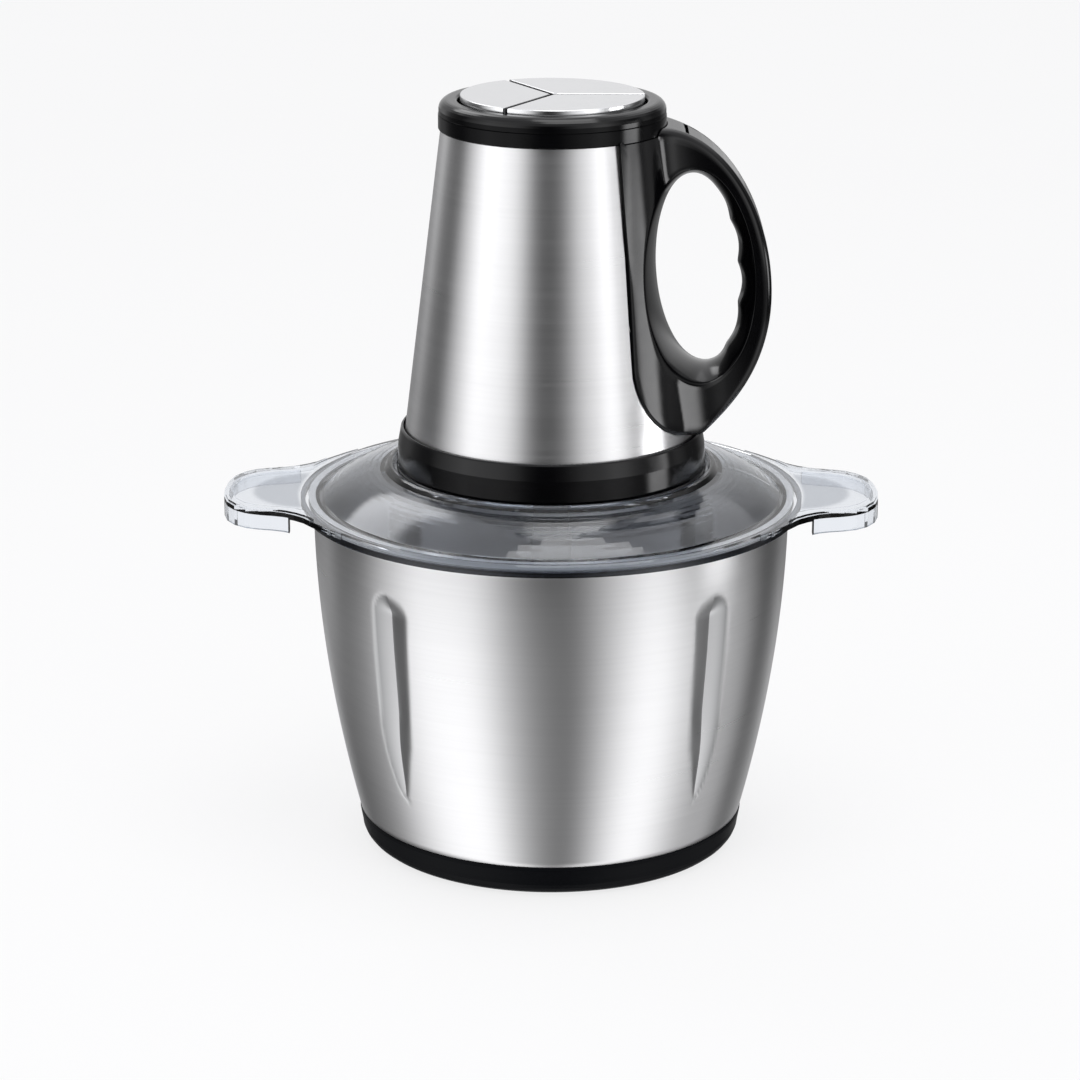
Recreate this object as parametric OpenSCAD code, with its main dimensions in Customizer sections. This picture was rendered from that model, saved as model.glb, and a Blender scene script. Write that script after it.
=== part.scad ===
// Electric food chopper: steel bowl, clear lid, motor head with loop handle.
// Origin: centre of the underside of the base boot. +Z up, handle towards +X, front towards -Y.

/* [Bowl] */
// Height of the rolled rim's top above the table
bowl_h = 134.8; // [125:0.1:150]
// Outer radius of the bowl wall just under the rim
bowl_top_r = 90.8; // [88:0.1:96]
// Outer radius of the bowl wall just above the boot
bowl_foot_r = 74.4; // [70:0.1:78]
// Exponent of the bulging wall curve
wall_curve = 1.9; // [1.5:0.05:2.3]
// Steel thickness of the bowl
bowl_t = 0.8; // [0.6:0.1:1]
// Height of the black boot under the bowl
boot_h = 12.4; // [10:0.1:16]
// Depth of the pressed flutes at their top
flute_depth = 2.4; // [1.8:0.1:3.4]
// Half width of the pressed flutes at their top
flute_half_w = 8; // [6:0.5:10]
// Turn of each flute away from the front and back directions
flute_angle = 42; // [35:1:55]

/* [Blades] */
// Radius of the fixed centre pin
pin_r = 4; // [3.5:0.1:4.5]
// Radius of the white blade spindle
spindle_r = 7.85; // [7.5:0.05:8.3]
// Reach of the lower blade from the axis
lower_reach = 64; // [50:1:66]
// Reach of the upper blade from the axis
upper_reach = 66; // [50:1:68]
// Thickness of the blade steel
blade_t = 1.5; // [1:0.1:2]
// Length of the spacer between the blades
blade_gap = 42; // [30:1:50]

/* [Lid] */
// Distance between the tips of the two ears
ear_span = 250; // [240:1:262]
// Half width of an ear near its tip
ear_half_w = 28; // [24:1:32]
// Thickness of the clear lid
lid_t = 2.2; // [1.8:0.1:2.6]
// Rise from the lid's flange to the shelf that carries the head
dome_h = 9.9; // [8:0.1:14]
// Depth of the skirt under the ears
ear_skirt = 7.5; // [5:0.5:8.5]

/* [Head] */
// Outer radius of the black base ring at its foot
ring_r = 59; // [57.5:0.1:60.5]
// Height of the black base ring
ring_h = 16.5; // [15.5:0.1:18]
// Outer radius of the steel shell at the base ring
shell_low_r = 55.5; // [54.8:0.1:56]
// Outer radius of the steel shell at the collar
shell_top_r = 41.6; // [41:0.1:43]
// Visible height of the steel shell
shell_h = 114; // [112:1:122]
// Steel thickness of the shell
shell_t = 0.6; // [0.4:0.1:0.8]
// Height of the lower collar band
band_h = 5.5; // [5:0.1:7]
// Height of the upper collar ring
collar_h = 5.5; // [5:0.1:7]

/* [Buttons] */
// Radius of the three-part chrome button disc
button_r = 34.3; // [33:0.1:34.6]
// Gap between two buttons
button_gap = 0.8; // [0.5:0.1:1.4]
// Travel of a button
button_travel = 1.2; // [0.8:0.1:1.4]

/* [Handle] */
// Distance from the axis to the outside of the grip
grip_reach = 82.3; // [80:0.1:88]
// Half thickness of the grip
grip_half_w = 12; // [10:0.5:13]
// Half width of the finger hole at its crease
hole_a = 20.8; // [18:0.2:21]
// Half height of the finger hole at its crease
hole_b = 40.2; // [36:0.2:41]
// Bulge of the hole wall towards the fingers
hole_bulge = 4.4; // [3:0.1:5]
// Depth of the finger scallops
scallop = 1.5; // [0.5:0.1:2]
// Pitch of the finger scallops
scallop_pitch = 16.5; // [14:0.5:18]
// Rounding of the grip's outer edges
grip_round = 3.5; // [2:0.5:4]

/* [Drive] */
// Gear module
gear_m = 0.8; // [0.75:0.01:0.82]
// Clearance along the tooth flanks
backlash = 0.12; // [0.1:0.01:0.16]
// Radial clearance of a running fit
run_gap = 0.05; // [0.02:0.01:0.08]
// Share of the shell's height that the lamination stack takes
stack_share = 0.2456; // [0.21:0.005:0.26]

/* [Hidden] */
$fn = 96;

steel = [0.78, 0.78, 0.79];
black = [0.04, 0.04, 0.045];
clear = [0.85, 0.89, 0.92, 0.35];
chrome = [0.86, 0.86, 0.88];
white = [0.9, 0.9, 0.89];
brass = [0.78, 0.62, 0.3];
copper = [0.72, 0.4, 0.22];
cast = [0.62, 0.63, 0.65];

// Gap between parts that are seated on each other
seat = 0.05;

// Heights of the bowl, lid and head
bead_r = 1.4;
rim_z = bowl_h - bead_r;
foot_z = boot_h + 0.2;
floor_z = 2.6;
flange_z = bowl_h + 2.7;
shelf_z = flange_z + dome_h;
ring_z = shelf_z + seat;
shell_z = ring_z + ring_h;
top_z = shell_z + shell_h;
band_z = top_z + band_h;
collar_z = band_z + collar_h;
button_z = collar_z + 1.7;

// Bowl and blade sizes
boot_r = bowl_foot_r + 0.15;
inset_r = boot_r - 1.7;
hub_z = floor_z + bowl_t;
blade_z = hub_z + 9.2;
upper_z = blade_z + blade_t + blade_gap;
spindle_top = bowl_h - 0.8;
socket_r = 5.75;
dog_r = 5.3;

// Lid radii, taken from the bowl's rim
lip_r = bowl_top_r + 3.3;
lid_r = lip_r + 1.6;
dome_r = bowl_top_r - 2.2;
recess_r = ring_r + 1.2;
hub_hole_r = spindle_r + 0.85;
hub_bottom = bowl_h - 9.8;
nose_gap = 0.8;

// Gear sizes
sun_t = 12;
planet_t = 18;
ring_t = 48;
sun_pr = gear_m * sun_t / 2;
planet_pr = gear_m * planet_t / 2;
ring_pr = gear_m * ring_t / 2;
orbit_r = sun_pr + planet_pr;
ring_out_r = ring_pr + 3.4;
house_r = ring_out_r + 3.4;
screw_ring = house_r + 3.1;

// Heights inside the head: the gearbox has its own, and the motor and switches share out the shell's
room = shell_h / 114;
stack_h = stack_share * shell_h;
pocket_z = hub_bottom + 10.6;
seal_z = pocket_z + 0.5;
bearing_z = pocket_z + 4;
carrier_z = bearing_z + 8.5;
gear_z = carrier_z + 4.6;
cover_z = gear_z + 12;
fan_z = cover_z + 5.2 * room;
bracket_z = fan_z + 10.6 * room;
stack_z = bracket_z + 13.4 * room;
comm_z = stack_z + stack_h + 8.6 * room;
upper_bracket_z = comm_z + 13;
shaft_top = upper_bracket_z + 5;
fan_r = 27;
core_r = 15.6;
bore_r = core_r + 0.8;
post_y = 33;
flat_x = 31;

function polar(r, a) = [r * cos(a), r * sin(a)];
function wall_r(z) = bowl_top_r - (bowl_top_r - bowl_foot_r)
  * pow(max(0, (rim_z - z) / (rim_z - foot_z)), wall_curve);
function shell_r(z) = shell_low_r - (shell_low_r - shell_top_r) * (z - shell_z) / shell_h;

module ring(r_in, r_out, z0, h) {
  translate([0, 0, z0]) difference() {
    cylinder(h = h, r = r_out);
    translate([0, 0, -1]) cylinder(h = h + 2, r = r_in);
  }
}
module box(x0, x1, y0, y1, z0, z1) {
  translate([x0, y0, z0]) cube([x1 - x0, y1 - y0, z1 - z0]);
}
module screw(z0, z1, r, head_r, head_h) {
  translate([0, 0, z0]) cylinder(h = z1 - z0, r = r, $fn = 32);
  translate([0, 0, z1]) difference() {
    cylinder(h = head_h, r = head_r, $fn = 32);
    box(-head_r, head_r, -0.35, 0.35, head_h - 0.8, head_h + 1);
    box(-0.35, 0.35, -head_r, head_r, head_h - 0.8, head_h + 1);
  }
}

// Bowl: pressed steel cup with a rolled rim and four V flutes with rounded tops
wall_steps = 11;
module flute(inset) {
  high = rim_z - 23.5;
  tip = foot_z + 22;
  apex = wall_r(high) - flute_depth - inset;
  low = wall_r(tip) + 0.1 - inset;
  tilt = atan2(apex - low, high - tip);
  len = norm([apex - low, high - tip]) + 22;
  wide = flute_half_w / flute_depth;
  for (a = [-90 - flute_angle, -90 + flute_angle, 90 - flute_angle, 90 + flute_angle]) rotate([0, 0, a]) {
    translate([apex, 0, high]) rotate([0, 90, 0]) cylinder(h = 8, r1 = 0, r2 = 8 * wide);
    translate([apex, 0, high]) rotate([0, tilt, 0]) translate([0, 0, -len])
      linear_extrude(height = len) polygon([[0, 0], [8, -8 * wide], [8, 8 * wide]]);
  }
}
module bowl_outer() {
  rotate_extrude() polygon(concat(
    [[0, floor_z], [inset_r - 8, floor_z], [inset_r - 4, floor_z + 1.1], [inset_r - 1.1, floor_z + 4],
     [inset_r - 0.15, floor_z + 7.4], [inset_r - 0.15, foot_z - 1.5]],
    [for (i = [0:wall_steps]) let (z = foot_z + (rim_z - foot_z) * i / wall_steps) [wall_r(z), z]],
    [[0, rim_z]]));
}
module bowl_inner() {
  rotate_extrude() polygon(concat(
    [[0, hub_z], [inset_r - 8.3, hub_z], [inset_r - 4.6, floor_z + 1.9], [inset_r - 1.9, floor_z + 4.5],
     [inset_r - bowl_t - 0.15, floor_z + 7.6], [inset_r - bowl_t - 0.15, foot_z - 1.2]],
    [for (i = [0:wall_steps]) let (z = foot_z + (rim_z - foot_z) * i / wall_steps)
      [wall_r(z) - bowl_t, z]],
    [[bowl_top_r - bowl_t, rim_z + 3], [0, rim_z + 3]]));
}
module bowl_shell() {
  color(steel) {
    difference() {
      bowl_outer();
      flute(0);
      difference() {
        bowl_inner();
        flute(bowl_t * 1.08);
      }
    }
    rotate_extrude() translate([bowl_top_r + bead_r - bowl_t, rim_z]) difference() {
      circle(r = bead_r, $fn = 40);
      circle(r = bead_r - 0.6, $fn = 32);
    }
  }
}
module bowl_pin() {
  color(steel) {
    translate([0, 0, hub_z]) cylinder(h = 1.4, r = 15);
    translate([0, 0, hub_z + 1.2]) cylinder(h = 3.6, r1 = 11, r2 = 8);
    translate([0, 0, hub_z]) cylinder(h = 104, r = pin_r);
    translate([0, 0, hub_z + 104]) cylinder(h = 1.5, r1 = pin_r, r2 = pin_r - 1.5);
  }
}
module base_boot() {
  color(black) difference() {
    rotate_extrude() polygon(concat(
      [[0, 0], [boot_r - 7.6, 0]],
      [for (a = [-75:15:0]) [boot_r - 7.4 + 6.5 * cos(a), 6.6 + 6.6 * sin(a)]],
      [[boot_r - 0.1, boot_h - 1.6], [boot_r - 0.1, boot_h - 0.4], [boot_r - 0.3, boot_h - 0.1],
       [inset_r + 0.05, boot_h - 1.6], [inset_r + 0.05, floor_z + 7.2], [inset_r - 0.9, floor_z + 3.7],
       [inset_r - 3.7, floor_z + 0.9], [inset_r - 7.6, floor_z - seat], [0, floor_z - seat]]));
    for (r = [20, 40, 60]) ring(r - 1, r + 1, -1, 1.6);
  }
}

// Blades: two S-shaped blades clamped on the white spindle, set a quarter turn apart
module blade_leaf(reach) {
  steps = 12;
  spine = [for (i = [0:steps]) let (x = reach * i / steps) [x, 4 - reach * 0.36 * pow(i / steps, 1.8)]];
  half = [for (i = [0:steps]) 8.5 - 6 * pow(i / steps, 1.4)];
  polygon(concat(
    [for (i = [0:steps]) [spine[i][0], spine[i][1] + half[i]]],
    [[reach + 0.8, spine[steps][1]]],
    [for (i = [steps:-1:0]) [spine[i][0], spine[i][1] - half[i]]]));
}
module blade(z, reach, lift, turn) {
  low = min(z, z + lift);
  rotate([0, 0, turn]) difference() {
    union() {
      translate([0, 0, z]) cylinder(h = blade_t, r = 12);
      for (s = [0, 180]) rotate([0, 0, s]) intersection() {
        rotate_extrude() polygon([
          [0, z], [16, z], [reach * 0.6, z + lift * 0.35], [reach + 2, z + lift],
          [reach + 2, z + lift + blade_t], [reach * 0.6, z + lift * 0.35 + blade_t],
          [16, z + blade_t], [0, z + blade_t]]);
        translate([0, 0, low - 1]) linear_extrude(height = abs(lift) + blade_t + 2) blade_leaf(reach);
      }
    }
    translate([0, 0, low - 1]) cylinder(h = abs(lift) + blade_t + 2, r = spindle_r + run_gap);
  }
}
module blade_spindle() {
  color(white) difference() {
    union() {
      translate([0, 0, hub_z + 4.8 + seat]) cylinder(h = blade_z - hub_z - 4.8 - seat * 2, r = 12);
      translate([0, 0, hub_z + 4.8 + seat]) cylinder(h = spindle_top - hub_z - 4.8 - seat - 1,
        r = spindle_r);
      translate([0, 0, spindle_top - 1]) cylinder(h = 1, r1 = spindle_r, r2 = spindle_r - 0.6);
    }
    translate([0, 0, hub_z]) cylinder(h = 109, r = pin_r + 1.5);
    translate([0, 0, spindle_top - 8.5]) cylinder(h = 10, r = socket_r, $fn = 6);
  }
}
module spindle_bush() {
  color(brass) ring(pin_r + run_gap, pin_r + 1.48, hub_z + 8, 96);
}
module lower_blade() {
  color(steel) blade(blade_z, lower_reach, 9, 20);
}
module blade_spacer() {
  color(white) ring(spindle_r + run_gap, 11, blade_z + blade_t + seat, blade_gap - seat * 2);
}
module upper_blade() {
  color(steel) blade(upper_z, upper_reach, -7, 110);
}
module blade_cap() {
  color(white) difference() {
    translate([0, 0, upper_z + blade_t + seat]) union() {
      cylinder(h = 4, r = 12);
      translate([0, 0, 4]) cylinder(h = 3, r1 = 12, r2 = 9.4);
    }
    translate([0, 0, upper_z]) cylinder(h = 12, r = spindle_r + run_gap);
  }
}

// Lid: clear dome with a sunk seat for the head and two ears
function shelf(r) = hub_bottom + 3.2 + (shelf_z - hub_bottom - 3.2) * (r - 14) / (ring_r - 1.6 - 14);
ear_x = ear_span / 2;
ear_side = [[0, 0], [0.6, 0.33], [2.2, 0.58], [5.5, 0.79], [10, 0.93], [15, 1], [20, 1.04], [24.5, 1.1],
  [29, 1.21], [32.5, 1.33], [36, 1.52], [39.5, 1.69], [43.5, 1.88], [48, 2.06]];
module ear_plan(grow) {
  for (s = [0, 180]) rotate([0, 0, s]) polygon(concat(
    [for (i = [0:len(ear_side) - 1]) [ear_x + grow - ear_side[i][0],
      (ear_half_w + grow) * ear_side[i][1]]],
    [for (i = [len(ear_side) - 1:-1:1]) [ear_x + grow - ear_side[i][0],
      -(ear_half_w + grow) * ear_side[i][1]]]));
}
dome_in = recess_r + 3.6;
dome_out = dome_r - 1.2;
function dome(r) = flange_z + 10.3 * (1 - pow((r - dome_in) / (dome_out - dome_in), 1.7));
dome_steps = 9;
function dome_line(r0, r1, lower) = [for (i = [0:dome_steps])
  let (r = r0 + (r1 - r0) * i / dome_steps) [r, dome(r) - lower]];
module lid() {
  color(clear) {
    difference() {
      union() {
        rotate_extrude() polygon(concat(
          [[0, hub_bottom], [14, hub_bottom], [15, shelf(15) - lid_t - 0.3],
           [ring_r - 1.4, shelf_z - lid_t], [recess_r + 0.6, shelf_z - lid_t],
           [recess_r + 2.6, shelf_z - 0.9]],
          dome_line(recess_r + 5, dome_r - 3.4, lid_t),
          [[dome_r - 1.8, flange_z - 1.6], [dome_r - 1.8, rim_z - 2.6], [dome_r - 0.2, rim_z - 2.6],
           [dome_r, flange_z - 1.4], [dome_r + 1.4, flange_z - 1.1], [lip_r - 1.2, flange_z - 1.1],
           [lip_r - 1.2, flange_z - lid_t], [lip_r, flange_z - lid_t], [lip_r, flange_z - 4.6],
           [lid_r, flange_z - 4.6], [lid_r + 0.1, flange_z - 0.6], [lid_r - 0.5, flange_z],
           [dome_r + 0.4, flange_z]],
          dome_line(dome_out, dome_in, 0),
          [[recess_r + 2.4, flange_z + dome_h + 1.9], [recess_r + 1.6, flange_z + dome_h + 2.3],
           [recess_r + 0.6, flange_z + dome_h + 2.3], [recess_r, flange_z + dome_h + 1.9],
           [recess_r, shelf_z], [ring_r - 1.6, shelf_z], [15, shelf(15)],
           [14, hub_bottom + 3.2], [0, hub_bottom + 3.2]]));
        difference() {
          translate([0, 0, flange_z - lid_t]) linear_extrude(height = lid_t) ear_plan(0);
          translate([0, 0, flange_z - lid_t - 1]) cylinder(h = lid_t + 2, r = lid_r - 1);
        }
        difference() {
          translate([0, 0, flange_z - 0.5]) linear_extrude(height = 1.3) ear_plan(-0.6);
          translate([0, 0, flange_z - 1]) linear_extrude(height = 3) ear_plan(-3.4);
          translate([0, 0, flange_z - 1]) cylinder(h = 3, r = lid_r + 2);
        }
        difference() {
          translate([0, 0, flange_z - ear_skirt]) linear_extrude(height = ear_skirt - 1) ear_plan(0);
          translate([0, 0, flange_z - ear_skirt - 1])
            linear_extrude(height = ear_skirt + 1) ear_plan(-1.8);
          box(-ear_x + 27, ear_x - 27, -80, 80, 0, flange_z + 5);
        }
        for (a = [0:120:240]) rotate([0, 0, a + 60]) translate([44, 0, shelf(44) - 1])
          cylinder(h = 3.2, r = 3, $fn = 32);
      }
      translate([0, 0, hub_bottom - 1]) cylinder(h = 8, r = hub_hole_r);
    }
  }
}
module lid_seal() {
  color([0.88, 0.89, 0.9, 0.6]) ring(bowl_top_r - 0.7, bowl_top_r + 1.8, bowl_h + seat,
    flange_z - 1.1 - seat - bowl_h - seat);
}

// Head base: black ring that stands in the lid's seat, with a nose over the spindle
module above_skin() {
  intersection() {
    children();
    translate([0, 0, shelf(0) + 1.4]) cylinder(h = shelf(160) - shelf(0), r1 = 0, r2 = 160);
  }
}
module head_base() {
  low = nose_gap;
  color(black) {
    difference() {
      union() {
        rotate_extrude() polygon([
          [0, hub_bottom + 3.2 + low], [14, hub_bottom + 3.2 + low], [15.4, shelf(15) + low],
          [ring_r - 2.4, shelf_z - low * 0.1], [ring_r - 2.4, ring_z], [ring_r, ring_z],
          [ring_r, ring_z + 1.2], [ring_r - 0.4, ring_z + 1.6], [ring_r - 0.2, ring_z + 2.6],
          [ring_r - 0.7, ring_z + ring_h * 0.63], [ring_r - 1.7, shell_z - 0.6], [ring_r - 2.1, shell_z],
          [shell_low_r + 0.85, shell_z], [shell_low_r + 0.85, shell_z - 0.6],
          [shell_r(shell_z - 6) + 0.35, shell_z - 6], [shell_low_r - 2.2, shell_z - 6],
          [shell_low_r - 2.6, ring_z + 4], [28, shelf(28) + low + 2.8], [15, shelf(15) + low + 2.6],
          [0, shelf(15) + low + 2.6]]);
        ring(8.9, 13.4, hub_bottom + 4.4, bearing_z - 0.9 - seat - hub_bottom - 4.4);
        above_skin() for (s = [-1, 1]) translate([0, s * post_y, shelf(post_y) - 2])
          cylinder(h = bracket_z - seat - shelf(post_y), r = 4.6, $fn = 40);
        above_skin() for (a = [60, 180, 300]) rotate([0, 0, a])
          translate([screw_ring, 0, shelf(screw_ring)])
            cylinder(h = cover_z - 4.4 - seat - shelf(screw_ring), r = 3, $fn = 32);
      }
      translate([0, 0, hub_bottom]) cylinder(h = pocket_z - hub_bottom, r = 9.8);
      translate([0, 0, hub_bottom]) cylinder(h = 30, r = 8.9);
      for (a = [60, 180, 300]) rotate([0, 0, a]) {
        translate([44, 0, shelf(44) - 1]) cylinder(h = 3.7, r = 3.5, $fn = 32);
        translate([screw_ring, 0, cover_z - 14]) cylinder(h = 30, r = 1.15, $fn = 24);
      }
      for (s = [-1, 1]) translate([0, s * post_y, bracket_z - 18]) cylinder(h = 30, r = 1.35, $fn = 24);
      for (a = [0:6:354]) rotate([0, 0, a]) translate([ring_r + 0.1, 0, ring_z + 0.95])
        cube([1.6, 1.6, 0.6], center = true);
    }
  }
}

// Handle: one moulding that closes the steel shell and carries the loop.
// Its face is a height field over the side view: the shell's cone, then a fairing to the grip.
loop_c = [56, ring_z + 76.6];
upper_c = [grip_reach - 46.3, ring_z + 68.6];
hole_c = [grip_reach - 27.3, ring_z + 77.4];
hole_tilt = 5;
edge_low = [29.4, ring_z + 52.5];
edge_slope = 0.067;
function cross_ellipse(d, c, a, b) =
  let (q = [(loop_c[0] - c[0]) / a, (loop_c[1] - c[1]) / b], e = [d[0] / a, d[1] / b], k = q * e,
    m = e * e)
  (-k + sqrt(k * k - m * (q * q - 1))) / m;
function tilted(d, a, b) =
  let (c = cos(hole_tilt), s = sin(hole_tilt), o = loop_c - hole_c,
       q = [(o[0] * c + o[1] * s) / a, (o[1] * c - o[0] * s) / b],
       e = [(d[0] * c + d[1] * s) / a, (d[1] * c - d[0] * s) / b], k = q * e, m = e * e)
  (-k + sqrt(k * k - m * (q * q - 1))) / m;
function edge_cut(d) =
  let (k = d[0] + edge_slope * d[1])
  k > -0.01 ? 999 : (edge_low[0] - edge_slope * (loop_c[1] - edge_low[1]) - loop_c[0]) / k;
function out_rho(t) =
  let (d = polar(1, t), up = cross_ellipse(d, upper_c, 46.3, 64.6),
       dn = cross_ellipse(d, upper_c, 46.3, 56.4),
       crown = d[1] > 0.1 && loop_c[0] + up * d[0] < upper_c[0]
         ? (upper_c[1] + 64.6 - loop_c[1]) / d[1] : up,
       o = min(loop_c[1] + up * d[1] > upper_c[1] ? crown : dn, edge_cut(d)), z = loop_c[1] + o * d[1])
  z < ring_z + 54.5 ? min(o, cross_ellipse(d, [57, ring_z + 54.5], d[0] < 0 ? 27.9 : 32.3, 36.6)) : o;
function crease_rho(t) = tilted(polar(1, t), hole_a, hole_b);
function mid_rho(t) =
  let (d = polar(1, t), r = tilted(d, hole_a - hole_bulge - 0.6, hole_b - 3.2), z = r * d[1],
       side = max(0, min(1, (d[0] * r - 5) / 5)), u = (z - 4) * 180 / scallop_pitch)
  r + side * (scallop * abs(sin(u)) - scallop * 0.7);
function fair(u) = lookup(u, [[30, 37.5], [34.5, 33.4], [38, 30.2], [42, 26.6], [46, 23], [50, 19.8],
  [54, 17], [58, 15], [62, 13.7], [66, 12.9], [72, 12.3], [80, 12]]) * grip_half_w / 12;
function half_w(x, z) =
  let (r = shell_r(z) + 0.8)
  max(x < r ? sqrt(r * r - x * x) : 0, fair(x - shell_r(z) + 48));
function edge_round(w) = lookup(w, [[13, grip_round], [17, grip_round * 0.8], [22, 1.2], [30, 0.5]]);
function face_point(t, rho, drop) =
  let (p = loop_c + polar(rho, t)) [p[0], -(half_w(p[0], p[1]) - drop), p[1]];
function section(t) =
  let (ro = out_rho(t), re = crease_rho(t), rm = mid_rho(t), pe = loop_c + polar(re, t),
       we = half_w(pe[0], pe[1]), po = loop_c + polar(ro, t), r = edge_round(half_w(po[0], po[1])))
  concat(
    [for (v = [0, 0.45, 0.8])
      let (p = loop_c + polar(rm + (re - rm) * v * v, t)) [p[0], -we * v, p[1]]],
    [for (s = [0, 0.3, 0.65]) face_point(t, re + (ro - r - re) * s, 0)],
    [for (a = [0, 45, 90]) face_point(t, ro - r + r * sin(a), r * (1 - cos(a)))]);
function whole(s) = concat(s, [for (i = [len(s) - 1:-1:1]) [s[i][0], -s[i][1], s[i][2]]]);
loop_steps = 72;
module loop_solid() {
  rows = [for (i = [0:loop_steps - 1]) whole(section(i * 360 / loop_steps))];
  n = len(rows[0]);
  polyhedron(
    points = [for (row = rows) for (p = row) p],
    faces = [for (i = [0:loop_steps - 1]) for (j = [0:n - 1])
      let (a = i * n + j, b = i * n + (j + 1) % n, c = ((i + 1) % loop_steps) * n + (j + 1) % n,
           d = ((i + 1) % loop_steps) * n + j)
      each [[a, c, b], [a, d, c]]]);
}
module side_prism(grow, half) {
  rotate([90, 0, 0]) translate([0, 0, -half]) linear_extrude(height = half * 2)
    polygon([for (i = [0:loop_steps - 1])
      let (t = i * 360 / loop_steps) loop_c + polar(out_rho(t) + grow, t)]);
}
module band_prism(t0, t1, lift, deep, half, flush) {
  n = 30;
  rotate([90, 0, 0]) translate([0, 0, -half]) linear_extrude(height = half * 2) polygon(concat(
    [for (i = [0:n]) let (t = t0 + (t1 - t0) * i / n) loop_c + polar(out_rho(t) + lift, t)],
    [for (i = [n:-1:0]) let (t = t0 + (t1 - t0) * i / n)
      loop_c + polar(flush ? out_rho(t) - deep : crease_rho(t) + deep, t)]));
}
module shell_cone(grow, z0, z1) {
  translate([0, 0, z0]) cylinder(h = z1 - z0, r1 = shell_r(z0) + grow, r2 = shell_r(z1) + grow);
}
strip_t0 = -60;
strip_t1 = 96;
strip_half = grip_half_w - grip_round - 0.2;
module handle_body() {
  color(black) {
    difference() {
      loop_solid();
      difference() {
        shell_cone(-3.2, shell_z - 8, top_z + 8);
        box(flat_x, 70, -60, 60, ring_z + 34, top_z + 9);
      }
      band_prism(strip_t0, strip_t1, 4, 2.2, strip_half + 0.1, true);
      band_prism(strip_t0 + 3, strip_t1 - 3, -1, 1.4, strip_half - 2, false);
      translate([0, 0, top_z - 0.1]) cylinder(h = 12, r = shell_top_r + 1.3);
      for (s = [-1, 1]) translate([flat_x + 4.2, s * 12, top_z - 11.5]) cylinder(h = 14, r = 1.25,
        $fn = 24);
    }
    difference() {
      intersection() {
        shell_cone(-shell_t - 0.1, shell_z + 2, top_z - 3);
        side_prism(4, 60);
      }
      shell_cone(-3.2, shell_z - 8, top_z + 8);
      box(flat_x - 1, 90, -60, 60, ring_z + 34, top_z + 9);
    }
  }
}
module handle_back_strip() {
  color(black) band_prism(strip_t0 + 0.2, strip_t1 - 0.2, 0, 2.15, strip_half, true);
}
module handle_screws() {
  color(cast) for (s = [-1, 1]) translate([flat_x + 4.2, s * 12, 0]) screw(top_z - 10.5,
    top_z + 3.5 + seat, 1.25, 2.4, 1.2);
}

// Steel shell: brushed cone, open where the handle moulding closes it
module motor_shell() {
  color(steel) difference() {
    shell_cone(0, shell_z - 6 + seat, top_z - 0.1);
    shell_cone(-shell_t, shell_z - 8, top_z + 8);
    intersection() {
      side_prism(0.35, 70);
      box(0, 90, -70, 70, 0, 400);
    }
    translate([0, shell_r(shell_z + 9), shell_z + 9]) rotate([90, 0, 0]) cylinder(h = 16, r = 5.2,
      center = true);
  }
}
module cord_gland() {
  y = shell_r(shell_z + 9);
  color(black) translate([0, y - 3, shell_z + 9]) rotate([-90, 0, 0]) difference() {
    union() {
      translate([0, 0, 0.4]) cylinder(h = 1.2, r = 7.2, $fn = 48);
      translate([0, 0, 1]) cylinder(h = 4, r = 5.1, $fn = 48);
      translate([0, 0, 3.9]) cylinder(h = 1.6, r1 = 7, r2 = 6, $fn = 48);
    }
    translate([0, 0, 3.4]) cylinder(h = 20, r = 3, $fn = 40);
  }
}

// Collar: lower band with the switch floor, and the upper ring round the buttons
module button_turns() {
  for (a = [60, 180, 300]) rotate([0, 0, a]) children();
}
collar_r = shell_top_r + 0.9;
module collar_band() {
  color(black) difference() {
    union() {
      rotate_extrude() polygon([
        [button_r + 0.9, top_z], [collar_r - 0.3, top_z], [collar_r, top_z + 0.4],
          [collar_r, band_z - seat],
        [button_r + 0.9, band_z - seat]]);
      ring(2, button_r + 1, top_z + 1.5, 2);
      ring(button_r - 1.2, button_r + 0.9, top_z - 6, 9);
      for (a = [0, 120, 240]) rotate([0, 0, a]) translate([25, 0, top_z - 8]) cylinder(h = 10, r = 2.6,
        $fn = 32);
    }
    button_turns() translate([18, 0, top_z - 1]) cylinder(h = 8, r = 3.7, $fn = 40);
    for (s = [-1, 1]) translate([flat_x + 4.2, s * 12, top_z - 1]) cylinder(h = 8, r = 1.6, $fn = 24);
    for (s = [-1, 1]) translate([flat_x + 4.2, s * 12, top_z + 3.5]) cylinder(h = 8, r = 2.7, $fn = 24);
    for (a = [90, 180, 270]) rotate([0, 0, a]) translate([38.3, 0, top_z - 1]) cylinder(h = 9, r = 1.4,
      $fn = 24);
    box(flat_x - 2, 50, -33, 33, top_z - 7, top_z - 0.01);
  }
}
module top_collar() {
  color(black) difference() {
    rotate_extrude() polygon(concat(
      [[button_r + 0.9, band_z], [collar_r - 0.35, band_z], [collar_r - 0.2, band_z + 0.35]],
      [for (a = [0:15:90]) [collar_r - 3.7 + 3.5 * cos(a), collar_z - 3.5 + 3.5 * sin(a)]],
      [for (a = [90:15:180]) [button_r + 2.1 + 1.2 * cos(a), collar_z - 1.2 + 1.2 * sin(a)]]));
    for (a = [90, 180, 270]) rotate([0, 0, a]) translate([38.3, 0, band_z - 1]) cylinder(h = 4,
      r = 1.05, $fn = 24);
  }
}
module collar_screws() {
  color(cast) for (a = [90, 180, 270]) rotate([0, 0, a]) translate([38.3, 0, 0]) mirror([0, 0, 1])
    screw(-band_z - 2.6, -top_z + seat, 1.05, 1.8, 1);
}

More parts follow.
